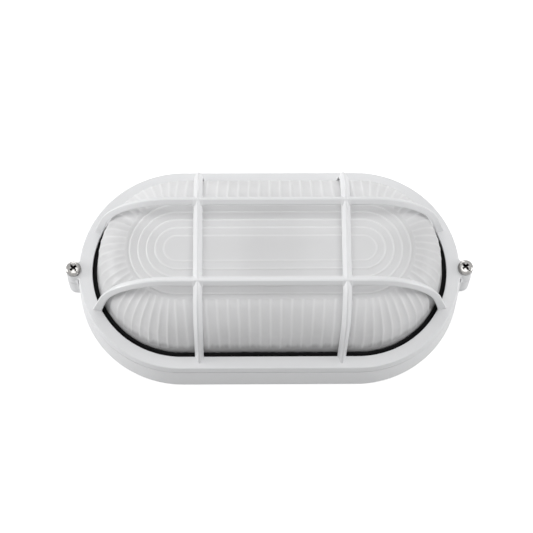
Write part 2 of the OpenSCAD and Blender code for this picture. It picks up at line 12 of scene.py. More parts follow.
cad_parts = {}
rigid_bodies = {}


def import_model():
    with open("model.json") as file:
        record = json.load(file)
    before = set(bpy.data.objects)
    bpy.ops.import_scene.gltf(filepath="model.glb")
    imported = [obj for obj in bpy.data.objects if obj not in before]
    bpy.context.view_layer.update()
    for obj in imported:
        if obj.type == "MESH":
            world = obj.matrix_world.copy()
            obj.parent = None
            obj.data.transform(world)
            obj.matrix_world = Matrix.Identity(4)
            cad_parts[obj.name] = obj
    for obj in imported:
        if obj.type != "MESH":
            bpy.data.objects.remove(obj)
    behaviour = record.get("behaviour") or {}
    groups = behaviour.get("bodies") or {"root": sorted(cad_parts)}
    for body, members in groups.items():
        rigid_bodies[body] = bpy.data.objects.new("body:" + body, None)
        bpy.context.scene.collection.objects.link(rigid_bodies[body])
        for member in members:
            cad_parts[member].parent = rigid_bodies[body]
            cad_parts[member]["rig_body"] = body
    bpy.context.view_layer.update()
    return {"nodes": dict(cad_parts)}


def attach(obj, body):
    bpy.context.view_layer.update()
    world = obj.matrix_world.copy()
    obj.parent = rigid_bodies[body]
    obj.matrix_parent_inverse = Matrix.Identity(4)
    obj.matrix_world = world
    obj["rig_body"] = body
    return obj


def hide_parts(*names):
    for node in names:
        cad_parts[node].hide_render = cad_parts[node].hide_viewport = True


bl_info = {
    "name": "Caged Wall Light",
    "version": (1, 0, 0),
    "blender": (4, 5, 0),
    "location": "View3D > Sidebar > Wall Light",
    "description": "Models the painted, glass and rubber pieces of an oval caged wall light",
    "category": "Object",
}

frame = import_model()
MM = 0.001
PLAIN = (0.8, 0.8, 0.8, 1.0)

# Sizes and places that several pieces share
SEAT_REACH = 61.85 * MM
FLANGE_REACH = 60 * MM
FLANGE_TOP = 25.8 * MM
FLANGE_LOW = 21.8 * MM
RING_INSET = 0.5 * MM
WALL_HOLE_X = 96 * MM
WALL_HOLE_R = 2.75 * MM
SCREW_HOLE_R = 2.75 * MM
ENTRY = Matrix.Translation((30 * MM, 0, 9.6 * MM)) @ Matrix.Rotation(-math.pi / 2, 4, "X")

# The fillet where a bar meets the face, and how much a long bar narrows down to its feet
FOOT_FILLET = 0.9 * MM
LONG_SLIM = 0.14

# Places of the stations in one flute, from one ridge to the next
FLUTE_SPREAD = (0.0, 0.055, 0.11, 0.19, 0.5, 0.81, 0.89, 0.945)


# Sizes and colours that a user would change

def length(label, note, value):
    """A length in metres, with its default in millimetres."""
    return FloatProperty(name=label, description=note, default=value * MM, min=0.0, unit="LENGTH")


def colour(label, note, value):
    """A linear colour."""
    return FloatVectorProperty(name=label, description=note, default=value, min=0.0, max=1.0,
                               size=3, subtype="COLOR")


class WallLightHousing(bpy.types.PropertyGroup):
    """Sizes of the housing and of the oval that all pieces share."""
    half: length("Half Length", "Half length of the straight middle of the oval", 54)
    base: length("Wall Reach", "Reach of the housing at the wall", 66)
    seam: length("Seam Reach", "Reach of the housing under the guard", 65.2)
    seam_z: length("Seam Height", "Height of the joint between housing and guard", 24.8)
    shelf_z: length("Shelf Height", "Height of the shelf under the seal", 19.8)
    floor: length("Floor", "Thickness of the floor", 3)
    lug_seam: length("Lug Seam", "Height of the joint between the lugs", 17)
    lug_x: length("Lug Place", "Distance of the lugs from the middle", 121.8)
    lug_r: length("Lug Radius", "Radius of the round lugs", 5.18)
    lug_low: length("Lug Foot", "Height of the lower end of the housing lugs", 0.06)
    lug_fillet: length("Lug Fillet", "Radius between lug and oval", 2.4)
    edge: length("Edge Radius", "Rounding of the cast edges", 0.8)


class WallLightGuard(bpy.types.PropertyGroup):
    """Sizes of the guard ring and its bars."""
    face_z: length("Face Height", "Height of the flat face", 30.2)
    face: length("Face Reach", "Reach of the outer edge of the face", 64.4)
    opening: length("Opening Reach", "Reach of the opening", 56.1)
    opening_shift: length("Opening Shift", "How far the opening stands towards the near side", 0.5)
    cage_z: length("Cage Height", "Height of the ridges", 84.5)
    bar_half: length("Bar Half Width", "Half the width of a bar", 2.7)
    ridge_half: length("Ridge Half Width", "Half the width of the worn ridge of a bar", 0.5)
    bar_back: length("Bar Back", "Half the width of the back of a bar", 1.95)
    bar_depth: length("Bar Depth", "Depth of a bar at the top", 4.8)
    leg_depth: length("Leg Depth", "Depth of a bar in its legs", 3.0)
    roof_top: length("Roof at Top", "Depth of the roof of a bar at the top", 2.0)
    cross_roof: length("Cross Bar Roof", "Depth of the roof of a cross bar at the top", 2.6)
    roof_foot: length("Roof at Foot", "Depth of the roof of a bar at its foot", 4.3)
    long_y: length("Long Bar Place", "Distance of the long bars from the middle", 25.7)
    long_foot: length("Long Bar Foot", "Reach of the feet of the long bars", 109)
    long_bend: length("Long Bar Bend", "Bend radius of the long bars", 45)
    long_leg: FloatProperty(name="Long Bar Slope", description="Slope of the legs of the long bars",
                            default=math.radians(75.5), subtype="ANGLE")
    long_lean: FloatProperty(name="Long Bar Lean", description="Outward lean of the long bars",
                             default=math.radians(8), subtype="ANGLE")
    left_x: length("Left Bar Place", "Distance of the left cross bar from the middle", 43.4)
    right_x: length("Right Bar Place", "Distance of the right cross bar from the middle, at its feet", 43.8)
    right_splay: length("Right Bar Splay", "How far the right cross bar stands out at the top", 1.7)
    cross_foot: length("Cross Bar Foot", "Reach of the feet of the cross bars", 60.8)
    cross_bend: length("Cross Bar Bend", "Bend radius of the cross bars", 30)
    cross_leg: FloatProperty(name="Cross Bar Slope", description="Slope of the legs of the cross bars",
                             default=math.radians(74.5), subtype="ANGLE")
    fillet: length("Crossing Fillet", "Radius in the corners of the crossings", 0.7)


class WallLightGlass(bpy.types.PropertyGroup):
    """Sizes of the pressed glass."""
    foot: length("Glass Foot", "Reach of the wall above the flange", 53.2)
    shoulder: length("Glass Shoulder", "Reach of the wall under the shoulder", 51.1)
    shoulder_z: length("Shoulder Height", "Height where the shoulder starts", 45.9)
    shoulder_r: length("Shoulder Radius", "Radius of the shoulder", 21.6)
    rise: length("Front Rise", "Rise of the front to the middle", 1.8)
    thick: length("Glass Thickness", "Thickness of the glass", 3)
    ring_pitch: length("Ring Pitch", "Distance between the rings", 5.1)
    ring_high: length("Ring Height", "Height of the rings", 0.4)
    stretch: length("Front Stretch", "How much longer the oval of the front is at each end", 2.2)
    ridge_half: length("Ridge Half Width", "Half the width of the ridge between two flutes", 0.65)
    ridge_high: length("Ridge Height", "Height of the ridge between two flutes", 0.24)
    rim_z: length("Rim Height", "Height where the flutes end over the rim", 33.2)
    flutes: IntProperty(name="Flutes", description="Number of flutes round the glass", default=88, min=20)


class WallLightFinish(bpy.types.PropertyGroup):
    """Colours of the finishes."""
    paint: colour("Paint", "White satin paint", (0.80, 0.805, 0.815))
    glass: colour("Glass", "Frosted glass", (0.787, 0.787, 0.792))
    rubber: colour("Rubber", "Black rubber", (0.004, 0.004, 0.0045))
    steel: colour("Steel", "Zinc-plated steel", (0.42, 0.42, 0.43))
    brass: colour("Brass", "Brass", (0.72, 0.50, 0.22))
    ceramic: colour("Ceramic", "Glazed ceramic", (0.83, 0.82, 0.78))
    nylon: colour("Nylon", "Nylon of the terminal block", (0.75, 0.73, 0.66))
    bulb: colour("Bulb", "Opal bulb", (0.86, 0.85, 0.82))
    screw: colour("Cover Screws", "Worn steel of the cover screws", (0.37, 0.362, 0.352))
    earth_screw: colour("Earth Screw", "Green of the earth screw", (0.05, 0.25, 0.09))
    live: colour("Live Wire", "Brown insulation", (0.10, 0.035, 0.015))
    neutral: colour("Neutral Wire", "Blue insulation", (0.015, 0.09, 0.42))
    earth: colour("Earth Wire", "Green insulation", (0.03, 0.28, 0.05))


class WallLightStage(bpy.types.PropertyGroup):
    """Camera and light."""
    target_z: length("Target Height", "Height of the point that the camera looks at", 30)
    distance: length("Camera Distance", "Distance of the camera from that point", 1189.92)
    elevation: FloatProperty(name="Elevation", description="Height angle of the camera",
                             default=math.radians(71.0), subtype="ANGLE")
    azimuth: FloatProperty(name="Azimuth", description="Turn of the camera about Z",
                           default=math.radians(-2.14), subtype="ANGLE")
    roll: FloatProperty(name="Roll", description="Roll of the camera", default=math.radians(1.82),
                        subtype="ANGLE")
    lens: FloatProperty(name="Lens", description="Focal length for a 36 mm sensor", default=129.2)
    shift_x: FloatProperty(name="Shift Right", description="Sideways shift of the picture", default=-0.0059)
    shift_y: FloatProperty(name="Shift Up", description="Upward shift of the picture", default=0.00477)
    world: FloatProperty(name="World Light", description="Strength of the even light", default=0.372)
    top: FloatProperty(name="Top Light", description="Power of the soft light above", default=16.9)
    far: FloatProperty(name="Far Light", description="Power of the soft light behind", default=4.0)
    left: FloatProperty(name="Left Light", description="Power of the soft light on the left", default=21.3)
    right: FloatProperty(name="Right Light", description="Power of the soft light on the right", default=16.0)


# Mesh helpers

def is_vert(item):
    return isinstance(item, bmesh.types.BMVert)


def is_edge(item):
    return isinstance(item, bmesh.types.BMEdge)


def in_mm(*points):
    """Points of a section, given in millimetres."""
    return [(r * MM, z * MM) for r, z in points]


def as_object(name, bm):
    """The bmesh as an object in the scene."""
    mesh = bpy.data.meshes.new(name)
    bm.to_mesh(mesh)
    bm.free()
    obj = bpy.data.objects.new(name, mesh)
    bpy.context.scene.collection.objects.link(obj)
    return obj


def soften(points, radius, closed=True):
    """The points with each corner cut to a small round; the ends of an open line stay."""
    steps = 2
    out = []
    count = len(points)
    for i, point in enumerate(points):
        if not closed and i in (0, count - 1):
            out.append(point)
            continue
        here = Vector(point)
        before = Vector(points[i - 1]) - here
        after = Vector(points[(i + 1) % count]) - here
        cut = min(radius, before.length * 0.45, after.length * 0.45)
        a, b = here + before.normalized() * cut, here + after.normalized() * cut
        for k in range(steps + 1):
            t = k / steps
            out.append(tuple(a * (1 - t) ** 2 + here * 2 * t * (1 - t) + b * t ** 2))
    return out


def oval_sweep(profile, half, closed=True, arc_steps=56, straight_steps=1):
    """A bmesh of (reach, height) points swept once round the oval, ends by spin and sides by extrusion."""
    bm = bmesh.new()
    verts = [bm.verts.new((half, -r, z)) for r, z in profile]
    edges = [bm.edges.new(pair) for pair in zip(verts, verts[1:])]
    if closed:
        edges.append(bm.edges.new((verts[-1], verts[0])))
    for side in (1, -1):
        turned = bmesh.ops.spin(bm, geom=verts + edges, cent=(side * half, 0, 0), axis=(0, 0, 1),
                                dvec=(0, 0, 0), angle=math.pi, steps=arc_steps,
                                use_merge=False, use_duplicate=False)
        edges = [g for g in turned["geom_last"] if is_edge(g)]
        for _ in range(straight_steps):
            out = bmesh.ops.extrude_edge_only(bm, edges=edges)
            verts = [g for g in out["geom"] if is_vert(g)]
            edges = [g for g in out["geom"] if is_edge(g)]
            bmesh.ops.translate(bm, verts=verts, vec=(-2 * side * half / straight_steps, 0, 0))
    bmesh.ops.remove_doubles(bm, verts=bm.verts, dist=1e-6)
    bmesh.ops.dissolve_degenerate(bm, edges=bm.edges, dist=1e-7)
    bmesh.ops.recalc_face_normals(bm, faces=bm.faces)
    return bm


def loft(rows):
    """A closed bmesh bar: the first loop of points is drawn and each next one is extruded from it."""
    bm = bmesh.new()
    spot = bm.verts.layers.int.new("spot")
    verts = [bm.verts.new(p) for p in rows[0]]
    for i, v in enumerate(verts):
        v[spot] = i
    edges = [bm.edges.new((verts[i - 1], verts[i])) for i in range(len(verts))]
    for row in rows[1:]:
        out = bmesh.ops.extrude_edge_only(bm, edges=edges)
        for v in (g for g in out["geom"] if is_vert(g)):
            v.co = row[v[spot]]
        edges = [g for g in out["geom"] if is_edge(g)]
    bmesh.ops.holes_fill(bm, edges=[e for e in bm.edges if e.is_boundary], sides=0)
    bmesh.ops.recalc_face_normals(bm, faces=bm.faces)
    return bm


def revolve(profile, steps=40):
    """A bmesh turned about Z from (radius, height) points that end on the axis or close a ring."""
    bm = bmesh.new()
    verts = [bm.verts.new((r, 0, z)) for r, z in profile]
    edges = [bm.edges.new(pair) for pair in zip(verts, verts[1:])]
    if profile[0][0] > 0:
        edges.append(bm.edges.new((verts[-1], verts[0])))
    bmesh.ops.spin(bm, geom=verts + edges, cent=(0, 0, 0), axis=(0, 0, 1), dvec=(0, 0, 0),
                   angle=2 * math.pi, steps=steps, use_merge=True, use_duplicate=False)
    bmesh.ops.remove_doubles(bm, verts=bm.verts, dist=1e-7)
    bmesh.ops.recalc_face_normals(bm, faces=bm.faces)
    return bm


def bore(x, y, z0, z1, radius):
    """A closed pin that stands at a place, to cut a hole with."""
    pin = revolve([(0, z0), (radius, z0), (radius, z1), (0, z1)], 32)
    bmesh.ops.translate(pin, verts=pin.verts, vec=(x, y, 0))
    return pin


def block(low, high, bevel=0.0):
    """A bmesh box between two corners, with softened edges."""
    bm = bmesh.new()
    low, high = Vector(low), Vector(high)
    bmesh.ops.create_cube(bm, size=1.0)
    bmesh.ops.scale(bm, verts=bm.verts, vec=high - low)
    bmesh.ops.translate(bm, verts=bm.verts, vec=(low + high) / 2)
    if bevel:
        bmesh.ops.bevel(bm, geom=bm.edges[:], offset=bevel, offset_type="OFFSET", affect="EDGES",
                        segments=2, profile=0.5, material=-1, clamp_overlap=True)
    return bm


def prism(outline, z0, z1, top=0.0, bottom=0.0, keep=None):
    """A bmesh plate over an (x, y) outline, its top and bottom edges rounded where keep(point) is true."""
    bm = bmesh.new()
    face = bm.faces.new([bm.verts.new((x, y, z0)) for x, y in outline])
    out = bmesh.ops.extrude_face_region(bm, geom=[face])
    bmesh.ops.translate(bm, verts=[g for g in out["geom"] if is_vert(g)], vec=(0, 0, z1 - z0))
    bmesh.ops.recalc_face_normals(bm, faces=bm.faces)
    for level, size in ((z1, top), (z0, bottom)):
        if size:
            rim = [e for e in bm.edges if all(abs(v.co.z - level) < 1e-7 for v in e.verts)
                   and (keep is None or all(keep(v.co) for v in e.verts))]
            bmesh.ops.bevel(bm, geom=rim, offset=size, offset_type="OFFSET", affect="EDGES",
                            segments=3, profile=0.5, material=-1, clamp_overlap=True)
    return bm


def join(target, other, matrix=None):
    """Adds another bmesh to the target."""
    if matrix is not None:
        bmesh.ops.transform(other, matrix=matrix, verts=other.verts)
        if matrix.determinant() < 0:
            bmesh.ops.reverse_faces(other, faces=other.faces)
    mesh = bpy.data.meshes.new("part")
    other.to_mesh(mesh)
    target.from_mesh(mesh)
    bpy.data.meshes.remove(mesh)
    other.free()


def carve(bm, tools):
    """The bmesh with closed tools taken away from it."""
    cutter = bmesh.new()
    for tool in tools:
        join(cutter, tool)
    part, knife = as_object("carved", bm), as_object("cutter", cutter)
    mod = part.modifiers.new("Cut", "BOOLEAN")
    mod.operation = "DIFFERENCE"
    mod.solver = "EXACT"
    mod.object = knife
    bpy.context.view_layer.update()
    made = bpy.data.meshes.new_from_object(part.evaluated_get(bpy.context.evaluated_depsgraph_get()))
    out = bmesh.new()
    out.from_mesh(made)
    bpy.data.meshes.remove(made)
    for obj in (part, knife):
        mesh = obj.data
        bpy.data.objects.remove(obj)
        bpy.data.meshes.remove(mesh)
    if not out.faces:
        raise RuntimeError("The cut left nothing of the part")
    return out


def piece(name, bm, material, body, nodes, sharp=35.0, weighted=True):
    """Makes the bmesh a finished piece that rides on a body and stands for its CAD nodes."""
    obj = as_object(name, bm)
    obj.data.materials.append(material)
    shade(obj.data, sharp)
    if weighted:
        mod = obj.modifiers.new("Weighted Normal", "WEIGHTED_NORMAL")
        mod.keep_sharp = True
    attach(obj, body)
    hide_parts(*nodes)


def shade(mesh, sharp):
    """Smooth shading with edges sharper than the angle left crisp."""
    bm = bmesh.new()
    bm.from_mesh(mesh)
    limit = math.radians(sharp)
    for face in bm.faces:
        face.smooth = True
    for edge in bm.edges:
        edge.smooth = len(edge.link_faces) == 2 and edge.calc_face_angle(0.0) < limit
    bm.to_mesh(mesh)
    bm.free()


# Materials

def feed(link, socket, value):
    """Links an output to a socket, or sets the socket to a plain value."""
    if isinstance(value, bpy.types.NodeSocket):
        link(value, socket)
    else:
        socket.default_value = value


def maker(nodes, link):
    """A function that adds a maths node to these nodes and gives its output."""
    def maths(kind, *values):
        node = nodes.new("ShaderNodeMath")
        node.operation = kind
        for i, value in enumerate(values):
            feed(link, node.inputs[i], value)
        return node.outputs[0]
    return maths


def smooth_step(nodes, link, value, ends):
    """A smooth step over a value, with the range ends that differ from 0 and 1."""
    node = nodes.new("ShaderNodeMapRange")
    node.interpolation_type = "SMOOTHSTEP"
    link(value, node.inputs["Value"])
    for label, end in ends.items():
        feed(link, node.inputs[label], end)
    return node.outputs[0]


def noise_over(nodes, link, place, scale, detail):
    """A noise pattern over a place."""
    node = nodes.new("ShaderNodeTexNoise")
    node.inputs["Detail"].default_value = detail
    link(place, node.inputs["Vector"])
    feed(link, node.inputs["Scale"], scale)
    return node.outputs["Fac"]


def vector_maths(nodes, link, kind, first, second):
    """A vector node over two values; a scale takes a plain number as its second."""
    node = nodes.new("ShaderNodeVectorMath")
    node.operation = kind
    link(first, node.inputs[0])
    feed(link, node.inputs["Scale" if kind == "SCALE" else 1], second)
    return node.outputs[0]


def object_place(nodes, link):
    """The place on the piece, whole and split into x, y and z."""
    place = nodes.new("ShaderNodeTexCoord").outputs["Object"]
    parts = nodes.new("ShaderNodeSeparateXYZ")
    link(place, parts.inputs[0])
    return place, *parts.outputs


def shared_effect(name, inputs, outputs=("Color",)):
    """A new node group with named sockets, its nodes, its link function and its inner ends."""
    group = bpy.data.node_groups.new(name, "ShaderNodeTree")
    for way, labels in (("INPUT", inputs), ("OUTPUT", outputs)):
        for label in labels:
            kind = "NodeSocketColor" if label == "Color" else "NodeSocketFloat"
            socket = group.interface.new_socket(name=label, in_out=way, socket_type=kind)
            if way == "INPUT":
                socket.default_value = inputs[label]
    given = group.nodes.new("NodeGroupInput").outputs
    made = group.nodes.new("NodeGroupOutput").inputs
    return group, group.nodes, group.links.new, given, made


def finish_group():
    """The shared effect: slow drift of tone and gloss, and a fine grain for bump."""
    name = "Finish Variation"
    if name in bpy.data.node_groups:
        return bpy.data.node_groups[name]
    inputs = {"Color": PLAIN, "Tone": 0.04, "Tone Scale": 20.0, "Roughness": 0.4, "Spread": 0.05,
              "Grain Scale": 900.0, "Stretch": 1.0}
    group, nodes, link, given, made = shared_effect(name, inputs, ("Color", "Roughness", "Height"))
    maths = maker(nodes, link)
    place = nodes.new("ShaderNodeTexCoord").outputs["Object"]
    drift = noise_over(nodes, link, place, given["Tone Scale"], 3.0)
    amount = maths("MULTIPLY_ADD", maths("SUBTRACT", drift, 0.5), given["Tone"], 1.0)
    link(vector_maths(nodes, link, "SCALE", given["Color"], amount), made["Color"])
    stretch = nodes.new("ShaderNodeCombineXYZ")
    stretch.inputs["Y"].default_value = 1.0
    stretch.inputs["Z"].default_value = 1.0
    link(given["Stretch"], stretch.inputs["X"])
    drawn = vector_maths(nodes, link, "MULTIPLY", place, stretch.outputs[0])
    grain = noise_over(nodes, link, drawn, given["Grain Scale"], 4.0)
    link(grain, made["Height"])
    gloss = maths("MULTIPLY_ADD", maths("SUBTRACT", grain, 0.5), given["Spread"], given["Roughness"])
    gloss.node.use_clamp = True
    link(gloss, made["Roughness"])
    return group


def finish(name, shade_of, roughness, tone=0.04, tone_scale=20.0, spread=0.1, grain=900.0, stretch=1.0,
           bump=0.1, bump_mm=0.02, metallic=0.0, coat=0.0, ior=1.5, transmission=0.0, subsurface=0.0):
    """A named material whose colour, gloss and fine relief come from the shared effect."""
    material = bpy.data.materials.new(name)
    material.use_nodes = True
    nodes, link = material.node_tree.nodes, material.node_tree.links.new
    shader = nodes["Principled BSDF"]
    vary = nodes.new("ShaderNodeGroup")
    vary.node_tree = finish_group()
    for label, value in (("Color", (*shade_of, 1.0)), ("Tone", tone), ("Tone Scale", tone_scale),
                         ("Roughness", roughness), ("Spread", spread), ("Grain Scale", grain),
                         ("Stretch", stretch)):
        vary.inputs[label].default_value = value
    relief = nodes.new("ShaderNodeBump")
    relief.inputs["Strength"].default_value = bump
    relief.inputs["Distance"].default_value = bump_mm * MM
    link(vary.outputs["Color"], shader.inputs["Base Color"])
    link(vary.outputs["Roughness"], shader.inputs["Roughness"])
    link(vary.outputs["Height"], relief.inputs["Height"])
    link(relief.outputs["Normal"], shader.inputs["Normal"])
    for label, value in (("Metallic", metallic), ("IOR", ior), ("Coat Weight", coat), ("Coat Roughness", 0.2),
                         ("Transmission Weight", transmission), ("Subsurface Weight", subsurface),
                         ("Subsurface Radius", (1.0, 1.0, 1.0)), ("Subsurface Scale", 3 * MM)):
        shader.inputs[label].default_value = value
    material.diffuse_color = (*shade_of, 1.0)
    return material


def known(name, make):
    """The material of that name, made once from the finish colours."""
    found = bpy.data.materials.get(name)
    return found or make(bpy.context.scene.wall_light_finish, name)


def tint(material, group, values):
    """Puts a shared effect between a material's colour and its shader."""
    nodes, link = material.node_tree.nodes, material.node_tree.links.new
    node = nodes.new("ShaderNodeGroup")
    node.node_tree = group
    for label, value in values.items():
        node.inputs[label].default_value = value
    base = nodes["Principled BSDF"].inputs["Base Color"]
    link(base.links[0].from_socket, node.inputs["Color"])
    link(node.outputs["Color"], base)
    return material


def paint():
    return known("White Satin Paint", lambda c, n: finish(
        n, c.paint, 0.36, tone=0.02, tone_scale=14, spread=0.12, grain=700, bump=0.12, bump_mm=0.03))


def painted_rim_shade_group():
    """The shared effect of the rim: painted shade, the colour darkens in streaks towards the foot of the
    glass and a little at its ends.
    """
    inputs = {"Color": PLAIN, "Bottom": 30 * MM, "Top": 40 * MM, "Darkest": 0.6}
    group, nodes, link, given, made = shared_effect("Rim Shade", inputs)
    maths = maker(nodes, link)
    place, x, _, z = object_place(nodes, link)
    # The noise is drawn out in height, which makes it streaks
    flat = vector_maths(nodes, link, "MULTIPLY", place, (1.0, 1.0, 0.08))
    streak = noise_over(nodes, link, flat, 260.0, 3.0)
    height = maths("MULTIPLY_ADD", streak, 12 * MM, z)
    # Painted shade: the colour grows darker towards the foot of the glass, beside the black seal
    level = smooth_step(nodes, link, height, {"From Min": given["Bottom"], "From Max": given["Top"],
                                              "To Min": given["Darkest"]})
    # Painted shade at the ends: the glass is thicker there, so its colour is made a little darker
    ends = smooth_step(nodes, link, maths("ABSOLUTE", x), {"From Min": 75 * MM, "From Max": 98 * MM,
                                                           "To Min": 1.0, "To Max": 0.86})
    link(vector_maths(nodes, link, "SCALE", given["Color"], maths("MULTIPLY", level, ends)), made["Color"])
    return group


def painted_crest_highlight_group():
    """The shared effect of rings and ridges: painted highlights, their crests a little lighter than the glass
    between.
    """
    scene = bpy.context.scene
    h, s = scene.wall_light_housing, scene.wall_light_glass
    inputs = {"Color": PLAIN, "Gain": 0.09, "Ridge Gain": 0.075}
    group, nodes, link, given, made = shared_effect("Crest Lines", inputs)
    maths = maker(nodes, link)
    _, x, y, z = object_place(nodes, link)
    # The reach from the middle line of the front, counted in rings from the outermost crest
    beyond = maths("MAXIMUM", maths("SUBTRACT", maths("ABSOLUTE", x), h.half + s.stretch), 0.0)
    reach = maths("SQRT", maths("ADD", maths("MULTIPLY", beyond, beyond), maths("MULTIPLY", y, y)))
    first = s.shoulder - s.shoulder_r - RING_INSET - 0.12 * s.ring_pitch
    turns = maths("DIVIDE", maths("SUBTRACT", first, reach), s.ring_pitch)
    away = maths("ABSOLUTE", maths("SUBTRACT", turns, maths("ROUND", turns)))
    # Painted highlight: a thin lighter line along each ring's crest on the front
    line = smooth_step(nodes, link, away, {"From Min": 0.2, "From Max": 0.0})
    inside = maths("MULTIPLY", maths("LESS_THAN", reach, s.shoulder - s.shoulder_r),
                   maths("GREATER_THAN", reach, 5 * MM))
    front = maths("MULTIPLY", inside, maths("GREATER_THAN", z, s.shoulder_z + s.shoulder_r - MM))
    # Painted highlight along the ridges between the flutes, which the ridge attribute marks
    ridge = nodes.new("ShaderNodeAttribute")
    ridge.attribute_name = "ridge"
    lift = maths("MULTIPLY_ADD", ridge.outputs["Fac"], given["Ridge Gain"], 1.0)
    gain = maths("MULTIPLY_ADD", maths("MULTIPLY", line, front), given["Gain"], lift)
    link(vector_maths(nodes, link, "SCALE", given["Color"], gain), made["Color"])
    return group


def frosted():
    """The frosted glass, with painted rim shade and painted crest highlights."""
    def make(c, n):
        material = finish(n, c.glass, 0.42, tone=0.03, tone_scale=40, spread=0.25, grain=1600, bump=0.35,
                          bump_mm=0.03, transmission=0.05, subsurface=0.4, ior=1.45)
        tint(material, painted_rim_shade_group(), {"Bottom": 39.5 * MM, "Top": 47.5 * MM, "Darkest": 0.68})
        return tint(material, painted_crest_highlight_group(), {})
    return known("Frosted Glass", make)


def rubber():
    return known("Black Rubber", lambda c, n: finish(
        n, c.rubber, 0.75, tone=0.2, tone_scale=60, spread=0.2, grain=1200, bump=0.2, bump_mm=0.03, ior=1.25))


def steel():
    return known("Zinc Plated Steel", lambda c, n: finish(
        n, c.steel, 0.24, tone=0.12, tone_scale=120, spread=0.25, grain=800, bump=0.1, bump_mm=0.01,
        metallic=1.0))


def head_steel():
    """The steel of the cover screws, with painted shade along the lower edge of the head and in its recess.
    """
    def make(c, n):
        seat = bpy.context.scene.wall_light_guard.face_z
        material = finish(n, c.screw, 0.24, tone=0.25, tone_scale=260, spread=0.3, grain=900, bump=0.15,
                          bump_mm=0.02, metallic=1.0)
        return tint(material, painted_head_shade_group(), {"Bottom": seat + 0.55 * MM, "Top": seat + 0.95 * MM})
    return known("Cover Screw Steel", make)


def painted_head_shade_group():
    """The shared effect of painted shade: the colour is nearly black at the rim of a head and in its recess.
    """
    scene = bpy.context.scene
    seat, lug_x = scene.wall_light_guard.face_z, scene.wall_light_housing.lug_x
    inputs = {"Color": PLAIN, "Bottom": 30 * MM, "Top": 40 * MM}
    group, nodes, link, given, made = shared_effect("Grease Line", inputs)
    maths = maker(nodes, link)
    _, x, y, z = object_place(nodes, link)
    # Painted shade along the lower edge of the head, nearly black
    level = smooth_step(nodes, link, z, {"From Min": given["Bottom"], "From Max": given["Top"],
                                         "To Min": 0.06})
    across = maths("SUBTRACT", maths("ABSOLUTE", x), lug_x)
    away = maths("SQRT", maths("ADD", maths("MULTIPLY", across, across), maths("MULTIPLY", y, y)))
    # Painted shade in the recess: inside the crown of the head and under its top, but not on the shank
    low = maths("LESS_THAN", z, seat + 2.7 * MM)
    high = maths("GREATER_THAN", z, seat)
    recess = maths("MULTIPLY", maths("LESS_THAN", away, 3.6 * MM), maths("MULTIPLY", low, high))
    rim = maths("MAXIMUM", level, maths("LESS_THAN", away, 2.6 * MM))
    both = maths("MULTIPLY", rim, maths("MULTIPLY_ADD", recess, -0.9, 1.0))
    link(vector_maths(nodes, link, "SCALE", given["Color"], both), made["Color"])
    return group


def sheet():
    return known("Brushed Sheet Steel", lambda c, n: finish(
        n, c.steel, 0.4, tone=0.1, tone_scale=60, spread=0.35, grain=1400, stretch=0.03, bump=0.15,
        bump_mm=0.01, metallic=1.0))


def brass():
    return known("Brass", lambda c, n: finish(
        n, c.brass, 0.3, tone=0.15, tone_scale=90, spread=0.25, grain=900, bump=0.08, bump_mm=0.01,
        metallic=1.0))


def ceramic():
    return known("Glazed Ceramic", lambda c, n: finish(
        n, c.ceramic, 0.15, tone=0.03, tone_scale=50, spread=0.06, grain=300, bump=0.1, bump_mm=0.03,
        coat=0.4))


def nylon():
    return known("Nylon", lambda c, n: finish(
        n, c.nylon, 0.45, tone=0.04, spread=0.1, grain=900, bump=0.1, subsurface=0.1))


def opal():
    return known("Opal Bulb", lambda c, n: finish(
        n, c.bulb, 0.3, tone=0.02, tone_scale=30, spread=0.08, grain=600, bump=0.05, subsurface=0.15))


def insulation(name, shade_of):
    return known(name, lambda c, n: finish(
        n, shade_of, 0.4, tone=0.08, tone_scale=80, spread=0.15, grain=700, bump=0.08))


def earth_paint():
    return known("Earth Green", lambda c, n: finish(n, c.earth_screw, 0.35, metallic=0.6))


# The guard

def lug_outline(centre, reach, lug_x, lug_r, fillet, inner):
    """Outline of one lug on the +X side: inner arc, fillet, round end, fillet."""
    fillet_steps, nose_steps, root_steps = 6, 20, 8
    span = math.sqrt((reach + fillet) ** 2 - (lug_r + fillet) ** 2)
    hub = Vector((centre + span, lug_r + fillet))
    start = math.atan2(-(lug_r + fillet), -span)
    arc = []
    for k in range(fillet_steps + 1):
        a = start + (-math.pi / 2 - start) * k / fillet_steps
        arc.append((hub.x + fillet * math.cos(a), hub.y + fillet * math.sin(a)))
    nose = [(lug_x + lug_r * math.cos(a), lug_r * math.sin(a))
            for a in (math.pi / 2 - math.pi * k / nose_steps for k in range(nose_steps + 1))]
    wide = math.atan2(arc[0][1], arc[0][0] - centre)
    root = [(centre + inner * math.cos(a), inner * math.sin(a))
            for a in (-wide + 2 * wide * k / root_steps for k in range(root_steps + 1))]
    return root + arc + nose + [(x, -y) for x, y in reversed(arc)]


def beyond_reach(half, reach):
    """A test for points that lie outside a reach of the oval's ends."""
    return lambda co: math.hypot(abs(co.x) - half, co.y) > reach


def fillet_flare(distance, radius):
    """How far a fillet stands out at a distance from its corner."""
    if distance >= radius:
        return 0.0
    return radius - math.sqrt(max(0.0, radius ** 2 - (radius - max(distance, 0.0)) ** 2))


